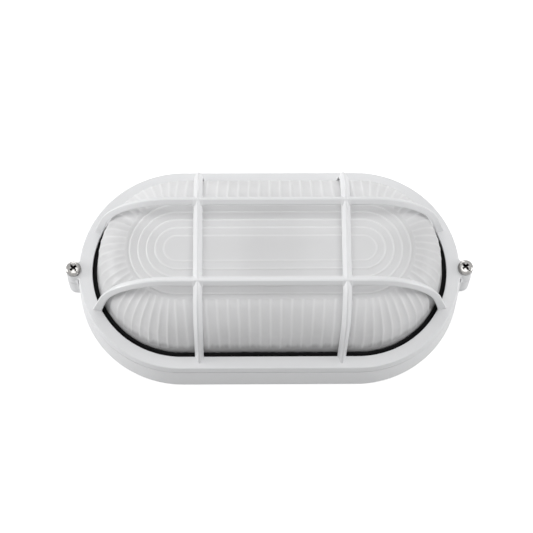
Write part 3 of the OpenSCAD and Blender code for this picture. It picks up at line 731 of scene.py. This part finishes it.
def bar_section(roof, half, back, depth, lean, ridge):
    """Points of a bar's section, ridge first, as (across, out) pairs."""
    worn = 0.04 * MM
    edge = 0.5 * MM
    slope = roof / (half - ridge)
    side = [(ridge, -worn), (half - edge, -(half - ridge - edge) * slope), (half - 2 * worn, -roof - worn),
            (half, -roof - 0.4 * MM), (back, -depth + 0.6 * MM), (back - edge, -depth)]
    loop = [(0.0, 0.0)] + side + [(-x, y) for x, y in reversed(side)]
    c, s = math.cos(lean), math.sin(lean)
    top = max(x * s + y * c for x, y in loop)
    return [(x * c - y * s, x * s + y * c - top) for x, y in loop]


# A bar: reach of its feet, slope of its legs, bend radius, lean, place beside the oval's middle line, half
# length of the oval where its feet stand on the round ends, and depth of its roof at the top
Bar = namedtuple("Bar", "foot leg bend lean place half top")


def bar_stops(bar, crossing):
    """Stations from the middle of a bar to its foot, and the lengths at which the bend and the leg end.

    A station is its distance, height, outward direction and way past the straight top."""
    g = bpy.context.scene.wall_light_guard
    top_steps, bend_steps, leg_steps = 12, 28, 14
    bend_z = g.cage_z - bar.bend
    rise = (bend_z + bar.bend * math.cos(bar.leg) - g.face_z) / math.sin(bar.leg)
    bend_u = bar.foot - rise * math.cos(bar.leg) - bar.bend * math.sin(bar.leg)
    arc_long = bar.bend * bar.leg
    stops = [(bend_u * i / top_steps, g.cage_z, 0.0, 1.0, 0.0) for i in range(top_steps + 1)]
    # Close stations in the corners of the crossing draw its fillets
    for way in (-1, 1):
        for part in (0.0, 0.1, 0.3, 0.6, 1.0):
            u = crossing + way * g.bar_half + way * part * g.fillet
            if u < bend_u - 1e-5:
                stops.append((u, g.cage_z, 0.0, 1.0, 0.0))
    for i in range(1, bend_steps + 1):
        a = math.pi / 2 - bar.leg * i / bend_steps
        stops.append((bend_u + bar.bend * math.cos(a), bend_z + bar.bend * math.sin(a), math.cos(a),
                      math.sin(a), arc_long * i / bend_steps))
    heights = [rise * k / leg_steps for k in range(leg_steps - 1, 1, -1)]
    # The last stations draw the fillet on the face and end inside the ring
    heights += [1.5 * MM, 0.9 * MM, 0.45 * MM, 0.12 * MM, -1.6 * MM]
    for t in heights:
        stops.append((bar.foot - t * math.cos(bar.leg), g.face_z + t * math.sin(bar.leg), math.sin(bar.leg),
                      math.cos(bar.leg), arc_long + rise - t))
    stops.sort(key=lambda s: (s[4], s[0]))
    return stops, arc_long, arc_long + rise


def bar_row(bar, stop, crossing, arc_long, total):
    """The section of a bar at one station, as (distance, across, height) points."""
    g = bpy.context.scene.wall_light_guard
    u, z, nu, nz, way = stop
    in_leg = way > arc_long
    share = min(1.0, way / total)
    roof = bar.top + (g.roof_foot - bar.top) * share ** 2.2
    flare = max(fillet_flare(abs(abs(u) - crossing) - g.bar_half, g.fillet) if nz > 0.9 else 0.0,
                fillet_flare(z - g.face_z, FOOT_FILLET) if in_leg else 0.0)
    lift = 0.4 * flare if in_leg else 0.0
    width = g.bar_half * (1.0 - (LONG_SLIM if bar.half else 0.0) * share ** 2) + flare
    back = g.bar_back + (g.bar_half - g.bar_back - 0.1 * MM) * share + flare
    depth = g.bar_depth + (g.leg_depth - g.bar_depth) * min(1.0, share / 0.4)
    depth = max(depth, roof + 0.4 * MM)
    # The back of the leg keeps outside the opening, whose reach is carried up along leg and bend
    over = max(0.0, z - g.face_z)
    in_bend = max(0.0, over - 18 * MM)
    limit = g.opening + 0.3 * MM - over / math.tan(bar.leg) - 0.02 * in_bend * in_bend / MM
    follow = max(0.0, 1.0 - over / (5 * MM)) ** 2
    row = []
    for x, y in bar_section(roof, width, back, depth, bar.lean, g.ridge_half):
        here, high = u + nu * (y + lift), z + nz * (y + lift)
        if bar.half and here > bar.half and over < 32 * MM:
            edge = bar.half + math.sqrt(limit ** 2 - (x + bar.place) ** 2)
            here = max(here, edge)
            if y < -depth + 0.8 * MM:
                here += (edge - here) * follow
        elif not bar.half and over < 12 * MM and here > 0.6 * limit:
            here = max(here, limit)
        row.append((here, x, high))
    return row


def bar_rows(bar, crossings):
    """Rows of points for one bar, from one foot over the top to the other.

    Crossings are the distances of the bars that it crosses on the two sides."""
    sides = []
    for crossing in crossings:
        stops, arc_long, total = bar_stops(bar, crossing)
        sides.append([bar_row(bar, stop, crossing, arc_long, total) for stop in stops])
    mirrored = [[(-u, x, z) for u, x, z in row] for row in reversed(sides[0][1:])]
    return mirrored + sides[1]


def ring_section(h, g):
    """The guard ring's section as (reach, height) points, from the seam over the face to the seat."""
    lip = 27.8 * MM
    crisp = 0.3 * MM
    e = h.edge
    ring = [(h.seam - 0.35 * MM, h.seam_z), (h.seam - 0.08 * MM, h.seam_z + 0.12 * MM),
            (h.seam, h.seam_z + 0.4 * MM)]
    for k in range(6):
        a = math.radians(90 * k / 5)
        drawn = 0.1 * MM * (1 - k / 5)
        ring.append((g.face - e + e * math.cos(a) + drawn, g.face_z - e + e * math.sin(a)))
    for k in range(4):
        a = math.radians(90 + 90 * k / 3)
        ring.append((g.opening + crisp + crisp * math.cos(a), g.face_z - crisp + crisp * math.sin(a)))
    return ring + [(g.opening, lip + 0.2 * MM), (g.opening + 0.2 * MM, lip), (SEAT_REACH, lip),
                   (SEAT_REACH, h.seam_z)]


class WALLLIGHT_OT_guard(bpy.types.Operator):
    """Model the cast guard: ring, lugs and the four bars"""
    bl_idname = "wall_light.guard"
    bl_label = "Guard"

    def execute(self, context):
        h, g = context.scene.wall_light_housing, context.scene.wall_light_guard
        bm = oval_sweep(ring_section(h, g), h.half, arc_steps=72)
        for v in bm.verts:
            if math.hypot(max(abs(v.co.x) - h.half, 0.0), v.co.y) < g.opening + MM:
                v.co.y -= g.opening_shift
        root = g.face - h.edge
        outline = lug_outline(h.half, g.face, h.lug_x, h.lug_r - 0.3 * MM, h.lug_fillet, root)
        skirt = lug_outline(h.half, h.seam + 0.7 * MM, h.lug_x, h.lug_r - 0.35 * MM, h.lug_fillet,
                            h.seam + 0.35 * MM)
        for side in (1, -1):
            lug = prism(outline, h.seam_z, g.face_z, top=h.edge,
                        keep=beyond_reach(h.half, root + 0.05 * MM))
            foot = prism(skirt, h.lug_seam, h.seam_z + 0.2 * MM, bottom=0.4 * MM)
            for part in (lug, foot):
                part = carve(part, [bore(h.lug_x, 0, h.lug_seam - MM, g.face_z + MM, SCREW_HOLE_R)])
                join(bm, part, Matrix.Diagonal((side, 1, 1, 1)))
        for side in (1, -1):
            bar = Bar(g.long_foot, g.long_leg, g.long_bend, -side * g.long_lean, side * g.long_y, h.half,
                      g.roof_top)
            rows = bar_rows(bar, (g.left_x, g.right_x + g.right_splay))
            join(bm, loft(rows), Matrix.Translation((0, side * g.long_y, 0)))
            bar = Bar(g.cross_foot, g.cross_leg, g.cross_bend, 0.0, 0.0, 0.0, g.cross_roof)
            cross = loft(bar_rows(bar, (g.long_y, g.long_y)))
            bmesh.ops.rotate(cross, verts=cross.verts, matrix=Matrix.Rotation(math.pi / 2, 3, "Z"))
            for v in cross.verts:
                splay = g.right_splay * (v.co.z - g.face_z) / (g.cage_z - g.face_z)
                v.co.x += g.right_x + splay if side > 0 else -g.left_x
            join(bm, cross)
        piece("cast_guard", bm, paint(), "cover", ["guard_frame"])
        return {"FINISHED"}


# The housing

def housing_section(h):
    """The housing's section as (reach, height) points: back, channel, skirt, rebate, shelf and bowl."""
    bowl = 51.5 * MM
    bowl_back = 54.5 * MM
    channel_roof = 16.8 * MM
    rebate = 64.2 * MM
    rebate_z = h.seam_z - MM
    return [(0, 0), (bowl_back, 0), (bowl_back, channel_roof), (62.8 * MM, channel_roof), (63 * MM, 0),
            (h.base, 0), (65.23 * MM, rebate_z), (rebate, rebate_z), (rebate, h.seam_z),
            (SEAT_REACH, h.seam_z), (SEAT_REACH, h.shelf_z), (bowl, h.shelf_z), (bowl - 0.5 * MM, h.floor),
            (0, h.floor)]


def boss(top, radius, hole):
    """A round screw boss that stands in the floor."""
    low = 2.6
    return revolve(in_mm((radius + 0.5, low), (radius + 0.12, 3.3), (radius, 4), (radius, top - 0.3),
                         (radius - 0.3, top), (hole + 0.3, top), (hole, top - 0.3), (hole, low)))


class WALLLIGHT_OT_housing(bpy.types.Operator):
    """Model the cast housing: bowl, shelf, skirt, ribs, bosses and lugs"""
    bl_idname = "wall_light.housing"
    bl_label = "Housing"

    def execute(self, context):
        h = context.scene.wall_light_housing
        section = soften(housing_section(h), 0.45 * MM, closed=False)
        bm = oval_sweep(section, h.half, closed=False, arc_steps=72)
        mouth = revolve(in_mm((0, 46), (6.5, 46), (6.5, 63.2), (7.7, 63.2), (7.7, 70), (0, 70)))
        bmesh.ops.transform(mouth, matrix=ENTRY, verts=mouth.verts)
        holes = [bore(side * WALL_HOLE_X, 0, -MM, 4 * MM, WALL_HOLE_R) for side in (1, -1)]
        bm = carve(bm, [mouth] + holes)
        outline = lug_outline(h.half, h.seam + 0.2 * MM, h.lug_x, h.lug_r, h.lug_fillet, h.seam - 1.4 * MM)
        for side in (1, -1):
            lug = prism(outline, h.lug_low, h.lug_seam - 0.4 * MM, top=0.6 * MM, bottom=0.5 * MM,
                        keep=beyond_reach(h.half, h.seam - 1.3 * MM))
            lug = carve(lug, [bore(h.lug_x, 0, 7.8 * MM, h.seam_z + MM, 2.5 * MM)])
            join(bm, lug, Matrix.Diagonal((side, 1, 1, 1)))
        self.add_ribs(bm, h)
        # Bosses for the lamp bracket, the terminal block and the earth screw
        for x, y, top in ((-76, 8, 6), (-76, -8, 6), (58, -26, 7), (62, 22, 5)):
            join(bm, boss(top, 4.5, 2), Matrix.Translation((x * MM, y * MM, 0)))
        join(bm, revolve(in_mm((6.52, 53), (8.7, 53), (8.7, 62.95), (6.52, 62.95))), ENTRY)
        for side in (1, -1):
            pad = revolve(in_mm((6.3, 2.6), (5.9, 3.3), (5.75, 4.3), (5.5, 4.5), (3.05, 4.5), (2.76, 4.2),
                                (2.76, 2.6)))
            join(bm, pad, Matrix.Translation((side * WALL_HOLE_X, 0, 0)))
        piece("cast_housing", bm, paint(), "base", ["base_housing"])
        return {"FINISHED"}

    def add_ribs(self, bm, h):
        """Ribs across the open channel of the back, with none at the cable entry."""
        low, high, mid = 3 * MM, 17.3 * MM, 58.7 * MM
        long, wide = 4.6 * MM, MM
        for side in (1, -1):
            for i in range(-2, 3):
                x = i * h.half / 2
                y = side * mid
                if side < 0 or abs(x - ENTRY.translation.x) > 10 * MM:
                    join(bm, block((x - wide, y - long, low), (x + wide, y + long, high), 0.2 * MM))
            for turn in (-60, -30, 30, 60):
                rib = block((mid - long, -wide, low), (mid + long, wide, high), 0.2 * MM)
                angle = math.radians(turn + (180 if side < 0 else 0))
                join(bm, rib, Matrix.Translation((side * h.half, 0, 0)) @ Matrix.Rotation(angle, 4, "Z"))


# The glass. Its points are (reach, height, kind), with these kinds

RIM, WALL, FRONT, INSIDE = 0, 1, 2, 3


def glass_section(s):
    """The glass's section: flange, fluted wall and shoulder, ringed front and smooth inside."""
    flat = s.shoulder - s.shoulder_r
    top = s.shoulder_z + s.shoulder_r
    wall = Vector((s.shoulder - s.foot, s.shoulder_z - FLANGE_TOP))
    soft = 0.2 * MM
    outer = [(FLANGE_REACH, FLANGE_TOP - soft, RIM), (FLANGE_REACH - soft, FLANGE_TOP, RIM),
             (s.foot + 0.4 * MM, FLANGE_TOP, RIM), (s.foot + 0.15 * MM, FLANGE_TOP + 0.4 * MM, RIM)]
    for t in (0.07, 0.1, 0.13, 0.17, 0.2, 0.23, 0.3, 0.325, 0.345, 0.36, 0.375, 0.395, 0.42, 0.47, 0.56, 0.68,
              0.8, 0.9, 1.0):
        # Two fine raised lines run round the plain rim
        line = 0.22 * MM if t in (0.1, 0.2) else 0.0
        outer.append((s.foot + wall.x * t + line, FLANGE_TOP + wall.y * t, WALL))
    for a in (7, 14, 21, 28, 35, 42, 49, 56, 62, 68, 73, 77, 79.5, 81.5, 83, 84.5, 86, 88, 90):
        a = math.radians(a)
        outer.append((flat + s.shoulder_r * math.cos(a), s.shoulder_z + s.shoulder_r * math.sin(a), WALL))
    # One ring, from its steep outer side over the crest to its long inner slope, as (part, height)
    shape = ((0.0, 0.0), (0.035, 0.4), (0.07, 0.85), (0.105, 1.0), (0.15, 0.95), (0.21, 0.72), (0.3, 0.58),
             (0.5, 0.36), (0.75, 0.14), (0.93, 0.02))
    rings = 5
    for ring in range(rings):
        fade = 1.0 if ring < rings - 1 else 0.6
        for part, high in shape:
            r = flat - RING_INSET - s.ring_pitch * (ring + part)
            bow = s.rise * (1 - (r / flat) ** 2)
            outer.append((r, top + bow + s.ring_high * high * fade, FRONT))
    outer.append((0.0, top + s.rise, FRONT))
    inner_arc = s.shoulder_r - s.thick
    inner = [(0.0, top - s.thick + s.rise, INSIDE), (flat, top - s.thick, INSIDE)]
    for a in (75, 60, 45, 30, 15, 0):
        a = math.radians(a)
        inner.append((flat + inner_arc * math.cos(a), s.shoulder_z + inner_arc * math.sin(a), INSIDE))
    hollow = s.foot - s.thick
    inner += [(hollow, FLANGE_TOP + soft, INSIDE), (hollow, FLANGE_LOW + 0.1 * MM, INSIDE),
              (hollow + soft, FLANGE_LOW, INSIDE), (FLANGE_REACH - soft, FLANGE_LOW, INSIDE),
              (FLANGE_REACH, FLANGE_LOW + soft, INSIDE)]
    return outer + inner


class WALLLIGHT_OT_glass(bpy.types.Operator):
    """Press the frosted glass: rings in the front, flutes over the shoulder, a plain rim"""
    bl_idname = "wall_light.glass"
    bl_label = "Glass"

    def execute(self, context):
        h, s = context.scene.wall_light_housing, context.scene.wall_light_glass
        points = glass_section(s)
        quarter = h.half + s.foot * math.pi / 2
        pitch = 4 * quarter / s.flutes
        per = len(FLUTE_SPREAD)
        arc_steps = round(math.pi * s.foot / pitch) * per
        side_steps = (s.flutes * per - 2 * arc_steps) // 2
        bm = sweep_band(points, h.half, arc_steps, side_steps)
        move_to_flutes(bm, points, h.half, s, pitch)
        bmesh.ops.remove_doubles(bm, verts=bm.verts, dist=2e-6)
        bmesh.ops.dissolve_degenerate(bm, edges=bm.edges, dist=1e-6)
        bmesh.ops.recalc_face_normals(bm, faces=bm.faces)
        piece("pressed_glass", bm, frosted(), "cover", ["glass_diffuser"], sharp=60,
              weighted=False)
        return {"FINISHED"}


def sweep_band(points, half, arc_steps, side_steps):
    """The glass section swept round the oval with a station number on every vertex."""
    bm = bmesh.new()
    spot, station = bm.verts.layers.int.new("spot"), bm.verts.layers.int.new("station")
    verts = [bm.verts.new((half, -p[0], p[1])) for p in points]
    for i, v in enumerate(verts):
        v[spot] = i
    # No edge joins the two points on the axis: swept, it would be a wall inside the glass
    edges = [bm.edges.new((verts[i - 1], verts[i])) for i in range(len(verts))
             if points[i - 1][0] or points[i][0]]
    step = math.pi / arc_steps
    total = 2 * (arc_steps + side_steps)
    for n in range(total):
        out = bmesh.ops.extrude_edge_only(bm, edges=edges)
        fresh = [g for g in out["geom"] if is_vert(g)]
        edges = [g for g in out["geom"] if is_edge(g)]
        lap, rest = divmod(n, arc_steps + side_steps)
        side = 1 if lap == 0 else -1
        if rest < arc_steps:
            bmesh.ops.rotate(bm, verts=fresh, cent=(side * half, 0, 0),
                             matrix=Matrix.Rotation(step, 3, "Z"))
        else:
            bmesh.ops.translate(bm, verts=fresh, vec=(-2 * side * half / side_steps, 0, 0))
        for v in fresh:
            v[station] = (n + 1) % total
    return bm


def outward(points):
    """The outward direction of a closed section at each of its points."""
    normals = []
    for i in range(len(points)):
        before, after = Vector(points[i - 1][:2]), Vector(points[(i + 1) % len(points)][:2])
        way = (after - before).normalized()
        normals.append(Vector((way.y, -way.x)))
    return normals


def place_on_oval(w, half, turn):
    """Place on the middle line and turn for a way from one side's middle round an end to the other's."""
    whole = 2 * half + turn * math.pi
    if w <= half:
        return w, 0.0
    if w >= whole - half:
        return whole - w, math.pi
    return half, (w - half) / turn


def ridge_height(s, r, z, across):
    """How high the glass stands between two flutes, and how much of that is ridge and not plain rim."""
    flat = s.shoulder - s.shoulder_r
    inside = across - s.ridge_half
    low = z - s.rim_z if z < s.shoulder_z else 1.0
    upper = 1.0
    if z >= s.shoulder_z:
        bow = math.atan2(z - s.shoulder_z, r - flat)
        upper = (math.radians(85.0) - bow) * s.shoulder_r
    end = min(low, upper)
    # A flute is a panel with round corners, and depth is how far inside it a point lies
    corner = 1.3 * MM
    dx, dy = corner - inside, corner - end
    depth = corner - math.hypot(dx, dy) if dx > 0 and dy > 0 else min(inside, end)
    t = min(1.0, max(0.0, 0.5 - depth / (0.9 * MM)))
    high = t * t * (3 - 2 * t)
    if upper < 0.6 * MM:
        high = min(1.0, max(0.0, (math.radians(90) - bow) * s.shoulder_r / (1.2 * MM)))
    if low < -0.4 * MM:
        high = 1.0
    return s.ridge_high * high, high if low > -0.4 * MM and upper > 0.6 * MM else 0.0


def move_to_flutes(bm, points, half, s, pitch):
    """Moves each station to its place in a flute and raises the ridges and the plain rim."""
    # A new layer moves the others, so it is made before they are looked up
    ridge = bm.verts.layers.float.new("ridge")
    spot, station = bm.verts.layers.int["spot"], bm.verts.layers.int["station"]
    lap = 4 * (half + s.foot * math.pi / 2)
    normals = outward(points)
    for v in bm.verts:
        r, z, kind = points[v[spot]]
        flute, step = divmod(v[station], len(FLUTE_SPREAD))
        part = FLUTE_SPREAD[step]
        way = ((flute + part) * pitch) % lap
        side = -1 if way > lap / 2 else 1
        spine, angle = place_on_oval(way - lap / 2 if side < 0 else way, half, s.foot)
        if kind == WALL:
            narrow = r / s.foot if 0 < angle < math.pi else 1.0
            high, share = ridge_height(s, r, z, min(part, 1.0 - part) * pitch * narrow)
            v[ridge] = share
            normal = normals[v[spot]]
            r, z = r + normal.x * high, z + normal.y * high
        # The front is a little longer than the wall: the middle line grows over the shoulder
        reach = min(1.0, max(0.0, (s.shoulder - r) / s.shoulder_r)) if kind in (WALL, FRONT) else 0.0
        spine *= 1.0 + s.stretch / half * reach
        v.co = (side * (spine + r * math.sin(angle)), side * -r * math.cos(angle), z)


# Rubber, screws and the inside

class WALLLIGHT_OT_seal(bpy.types.Operator):
    """Mould the black rubber seal round the glass and the grommet of the cable entry"""
    bl_idname = "wall_light.seal"
    bl_label = "Seal"

    def execute(self, context):
        h = context.scene.wall_light_housing
        section = in_mm((55, 19.8), (61.5, 19.8), (61.5, 27.75), (55.9, 27.75), (54.9, 28.3), (54.2, 28.75),
                        (53.6, 28.7), (53.55, 25.8), (60.1, 25.8), (60.1, 21.8), (55, 21.8))
        bm = oval_sweep(soften(section, 0.2 * MM), h.half, arc_steps=120, straight_steps=130)
        # The lip was trimmed by hand, so its edge is a little uneven
        for v in bm.verts:
            if v.co.z > 28.1 * MM:
                v.co.z += 0.7 * MM * noise.noise(v.co * 300) + 0.45 * MM * noise.noise(v.co * 900)
        piece("rubber_seal", bm, rubber(), "cover", ["glass_gasket"])
        section = in_mm((4, 50.5), (6.45, 50.5), (6.45, 63.2), (7.65, 63.2), (7.65, 65.1), (4, 65.1))
        grommet = revolve(soften(section, 0.3 * MM))
        bmesh.ops.transform(grommet, verts=grommet.verts, matrix=ENTRY)
        piece("rubber_grommet", grommet, rubber(), "base", ["cable_grommet"])
        return {"FINISHED"}


class WALLLIGHT_OT_screws(bpy.types.Operator):
    """Turn the two cover screws, with a cross recess in each pan head"""
    bl_idname = "wall_light.screws"
    bl_label = "Cover Screws"

    def execute(self, context):
        h, g = context.scene.wall_light_housing, context.scene.wall_light_guard
        profile = in_mm((0, -20), (1.6, -20), (2.45, -19.2), (2.45, -0.05), (4.4, 0), (4.75, 0.15),
                        (4.8, 0.5), (4.8, 1.5), (4.68, 2.05), (4.3, 2.55), (3.6, 2.95), (2.6, 3.18),
                        (1.4, 3.28), (0, 3.3))
        # Turn, half length, half width, bottom and narrowing: two tapered arms and one shallow slot
        cuts = ((-50, 3.1, 0.95, -1.0, 0.2), (40, 3.1, 0.95, -1.0, 0.2), (-50, 5.2, 0.42, 2.3, 1.0))
        for name, side in (("left", -1), ("right", 1)):
            bm = revolve(profile, 48)
            for turn, long, wide, deep, narrow in cuts:
                arm = block((-long * MM, -wide * MM, deep * MM), (long * MM, wide * MM, 5 * MM))
                low = [v for v in arm.verts if v.co.z < 3 * MM]
                bmesh.ops.scale(arm, verts=low, vec=(narrow, 0.5, 1.0))
                bmesh.ops.rotate(arm, verts=arm.verts, matrix=Matrix.Rotation(math.radians(turn), 3, "Z"))
                bm = carve(bm, [arm])
            bmesh.ops.translate(bm, verts=bm.verts, vec=(side * h.lug_x, 0, g.face_z))
            piece(f"pan_screw_{name}", bm, head_steel(), f"screw_{name}",
                  [f"cover_screw_{name}"])
        return {"FINISHED"}


class WALLLIGHT_OT_inside(bpy.types.Operator):
    """Dress the lamp holder, bulb, terminals and wires inside"""
    bl_idname = "wall_light.inside"
    bl_label = "Inside"

    def execute(self, context):
        c = context.scene.wall_light_finish
        # Node, material, slot and softening of its edges in millimetres
        plan = (
            ("lampholder_bracket", sheet(), "sheet_steel", 0.2),
            ("bracket_screws", steel(), "screw_steel", 0.12),
            ("lampholder_body", ceramic(), "holder_white", 0.3),
            ("lampholder_screws", steel(), "screw_steel", 0.12),
            ("lampholder_shell", brass(), "contact_brass", 0.1),
            ("centre_contact", brass(), "contact_brass", 0.08),
            ("live_terminal", brass(), "contact_brass", 0.2),
            ("neutral_terminal", brass(), "contact_brass", 0.2),
            ("terminal_screws", steel(), "screw_steel", 0.1),
            ("terminal_block", nylon(), "block_plastic", 0.2),
            ("block_tubes", brass(), "contact_brass", 0.05),
            ("block_screws", steel(), "screw_steel", 0.08),
            ("block_fixing_screw", steel(), "screw_steel", 0.1),
            ("earth_washer", steel(), "screw_steel", 0.1),
            ("earth_screw", earth_paint(), "earth_green", 0.12),
            ("live_wire", insulation("Brown Insulation", c.live), "wire_brown", 0.0),
            ("neutral_wire", insulation("Blue Insulation", c.neutral), "wire_blue", 0.0),
            ("earth_wire", insulation("Green Insulation", c.earth), "wire_green", 0.0),
            ("bulb", opal(), "bulb_opal", 0.0))
        for node, material, slot, bevel in plan:
            dress(node, material, bevel * MM)
        return {"FINISHED"}


def dress(node, material, bevel):
    """A copy of a CAD node with merged faces and softened edges stands for the node."""
    source = frame["nodes"][node]
    bm = bmesh.new()
    bm.from_mesh(source.data)
    bmesh.ops.remove_doubles(bm, verts=bm.verts, dist=2e-6)
    bmesh.ops.dissolve_limit(bm, angle_limit=math.radians(0.6), use_dissolve_boundaries=False,
                             verts=bm.verts, edges=bm.edges, delimit=set())
    if bevel:
        sharp = math.radians(40)
        rim = [e for e in bm.edges if len(e.link_faces) == 2 and e.calc_face_angle(0.0) > sharp]
        bmesh.ops.bevel(bm, geom=rim, offset=bevel, offset_type="OFFSET", affect="EDGES", segments=2,
                        profile=0.5, material=-1, clamp_overlap=True)
    piece(f"{node}_dressed", bm, material, source["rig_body"], [node], sharp=40)


# Camera, floor and light

class WALLLIGHT_OT_stage(bpy.types.Operator):
    """Set the floor, the camera of the photograph and plain soft light"""
    bl_idname = "wall_light.stage"
    bl_label = "Stage"

    def execute(self, context):
        s = context.scene.wall_light_stage
        self.add_camera(context, s)
        bm = bmesh.new()
        bmesh.ops.create_grid(bm, x_segments=1, y_segments=1, size=3.0)
        # Just under the wall plane, so that the housing's back doesn't flicker in it
        bmesh.ops.translate(bm, verts=bm.verts, vec=(0, 0, -0.05 * MM))
        floor = as_object("floor", bm)
        floor.data.materials.append(floor_material())
        self.set_world(context, s)
        lamp(context, "Top", (0.0, 0.1, 2.4), 1.5, s.top)
        lamp(context, "Far", (-0.2, 1.25, 0.5), 0.7, s.far)
        lamp(context, "Left", (-2.15, 0.1, 0.5), 0.9, s.left)
        lamp(context, "Right", (2.15, 0.0, 0.55), 0.9, s.right)
        return {"FINISHED"}

    def add_camera(self, context, s):
        """The camera, placed and turned as the photograph's edges ask."""
        low = math.cos(s.elevation)
        back = Vector((math.sin(s.azimuth) * low, -math.cos(s.azimuth) * low, math.sin(s.elevation)))
        right = Vector((math.cos(s.azimuth), math.sin(s.azimuth), 0))
        up = back.cross(right)
        c, n = math.cos(s.roll), math.sin(s.roll)
        right, up = right * c + up * n, up * c - right * n
        data = bpy.data.cameras.new("Photo Camera")
        camera = bpy.data.objects.new("Photo Camera", data)
        context.scene.collection.objects.link(camera)
        place = Matrix((right, up, back)).transposed().to_4x4()
        place.translation = Vector((0, 0, s.target_z)) + back * s.distance
        camera.matrix_world = place
        data.lens = s.lens
        data.sensor_width = 36.0
        data.shift_x = s.shift_x
        data.shift_y = s.shift_y
        data.clip_start = 0.05
        data.clip_end = 20.0
        context.scene.camera = camera

    def set_world(self, context, s):
        """Even light, seen as white by the camera and in metal and glass."""
        world = bpy.data.worlds.new("Studio")
        context.scene.world = world
        world.use_nodes = True
        nodes, link = world.node_tree.nodes, world.node_tree.links.new
        ground, white = nodes["Background"], nodes.new("ShaderNodeBackground")
        for shader, strength in ((ground, s.world), (white, 1.0)):
            shader.inputs["Color"].default_value = (1, 1, 1, 1)
            shader.inputs["Strength"].default_value = strength
        mix = nodes.new("ShaderNodeMixShader")
        link(background_rays(nodes, link, 1.0), mix.inputs[0])
        link(ground.outputs[0], mix.inputs[1])
        link(white.outputs[0], mix.inputs[2])
        link(mix.outputs[0], nodes["World Output"].inputs[0])


def lamp(context, name, place, size, power):
    """A square soft lamp that faces the wall light."""
    data = bpy.data.lights.new(name, "AREA")
    data.shape = "SQUARE"
    data.size = size
    data.energy = power
    obj = bpy.data.objects.new(name, data)
    context.scene.collection.objects.link(obj)
    obj.location = place
    middle = Vector((0, 0, 30 * MM))
    obj.rotation_euler = (Vector(place) - middle).to_track_quat("Z", "Y").to_euler()


def background_rays(nodes, link, share):
    """One for camera rays and a share of it for the rays by which metal and glass show the background."""
    path, maths = nodes.new("ShaderNodeLightPath").outputs, maker(nodes, link)
    through = maths("MAXIMUM", path["Is Glossy Ray"], path["Is Transmission Ray"])
    return maths("MAXIMUM", path["Is Camera Ray"], maths("MULTIPLY", through, share))


def floor_material():
    """A pale floor that reads as white and still takes the shadow."""
    material = bpy.data.materials.new("Pale Floor")
    material.use_nodes = True
    nodes, link = material.node_tree.nodes, material.node_tree.links.new
    nodes.remove(nodes["Principled BSDF"])
    matte, glow = nodes.new("ShaderNodeBsdfDiffuse"), nodes.new("ShaderNodeEmission")
    matte.inputs["Color"].default_value = PLAIN
    both = nodes.new("ShaderNodeAddShader")
    # Added to the light on the floor, the glow lifts it to white for the camera and nearly so in metal
    lift = maker(nodes, link)("MULTIPLY", background_rays(nodes, link, 0.4), 0.55)
    link(lift, glow.inputs["Strength"])
    link(matte.outputs[0], both.inputs[0])
    link(glow.outputs[0], both.inputs[1])
    link(both.outputs[0], nodes["Material Output"].inputs[0])
    return material


class WALLLIGHT_PT_panel(bpy.types.Panel):
    """The wall light's sizes, finishes and steps"""
    bl_idname = "WALLLIGHT_PT_panel"
    bl_label = "Wall Light"
    bl_space_type = "VIEW_3D"
    bl_region_type = "UI"
    bl_category = "Wall Light"

    def draw(self, context):
        for step in STEPS:
            self.layout.operator(step.bl_idname)
        for group in GROUPS:
            box = self.layout.box()
            values = getattr(context.scene, group)
            for name in type(values).__annotations__:
                box.prop(values, name)


GROUPS = {"wall_light_housing": WallLightHousing, "wall_light_guard": WallLightGuard,
          "wall_light_glass": WallLightGlass, "wall_light_finish": WallLightFinish,
          "wall_light_stage": WallLightStage}
STEPS = (WALLLIGHT_OT_stage, WALLLIGHT_OT_housing, WALLLIGHT_OT_guard, WALLLIGHT_OT_glass,
         WALLLIGHT_OT_seal, WALLLIGHT_OT_screws, WALLLIGHT_OT_inside)


def register():
    for cls in (*GROUPS.values(), *STEPS, WALLLIGHT_PT_panel):
        bpy.utils.register_class(cls)
    for name, cls in GROUPS.items():
        setattr(bpy.types.Scene, name, PointerProperty(type=cls))


def unregister():
    for name in GROUPS:
        delattr(bpy.types.Scene, name)
    for cls in reversed((*GROUPS.values(), *STEPS, WALLLIGHT_PT_panel)):
        bpy.utils.unregister_class(cls)


def main():
    """Makes the pieces in order."""
    register()
    bpy.context.scene.view_settings.view_transform = "Standard"
    bpy.ops.wall_light.stage()
    bpy.ops.wall_light.housing()
    bpy.ops.wall_light.guard()
    bpy.ops.wall_light.glass()
    bpy.ops.wall_light.seal()
    bpy.ops.wall_light.screws()
    bpy.ops.wall_light.inside()


if __name__ == "__main__":
    main()
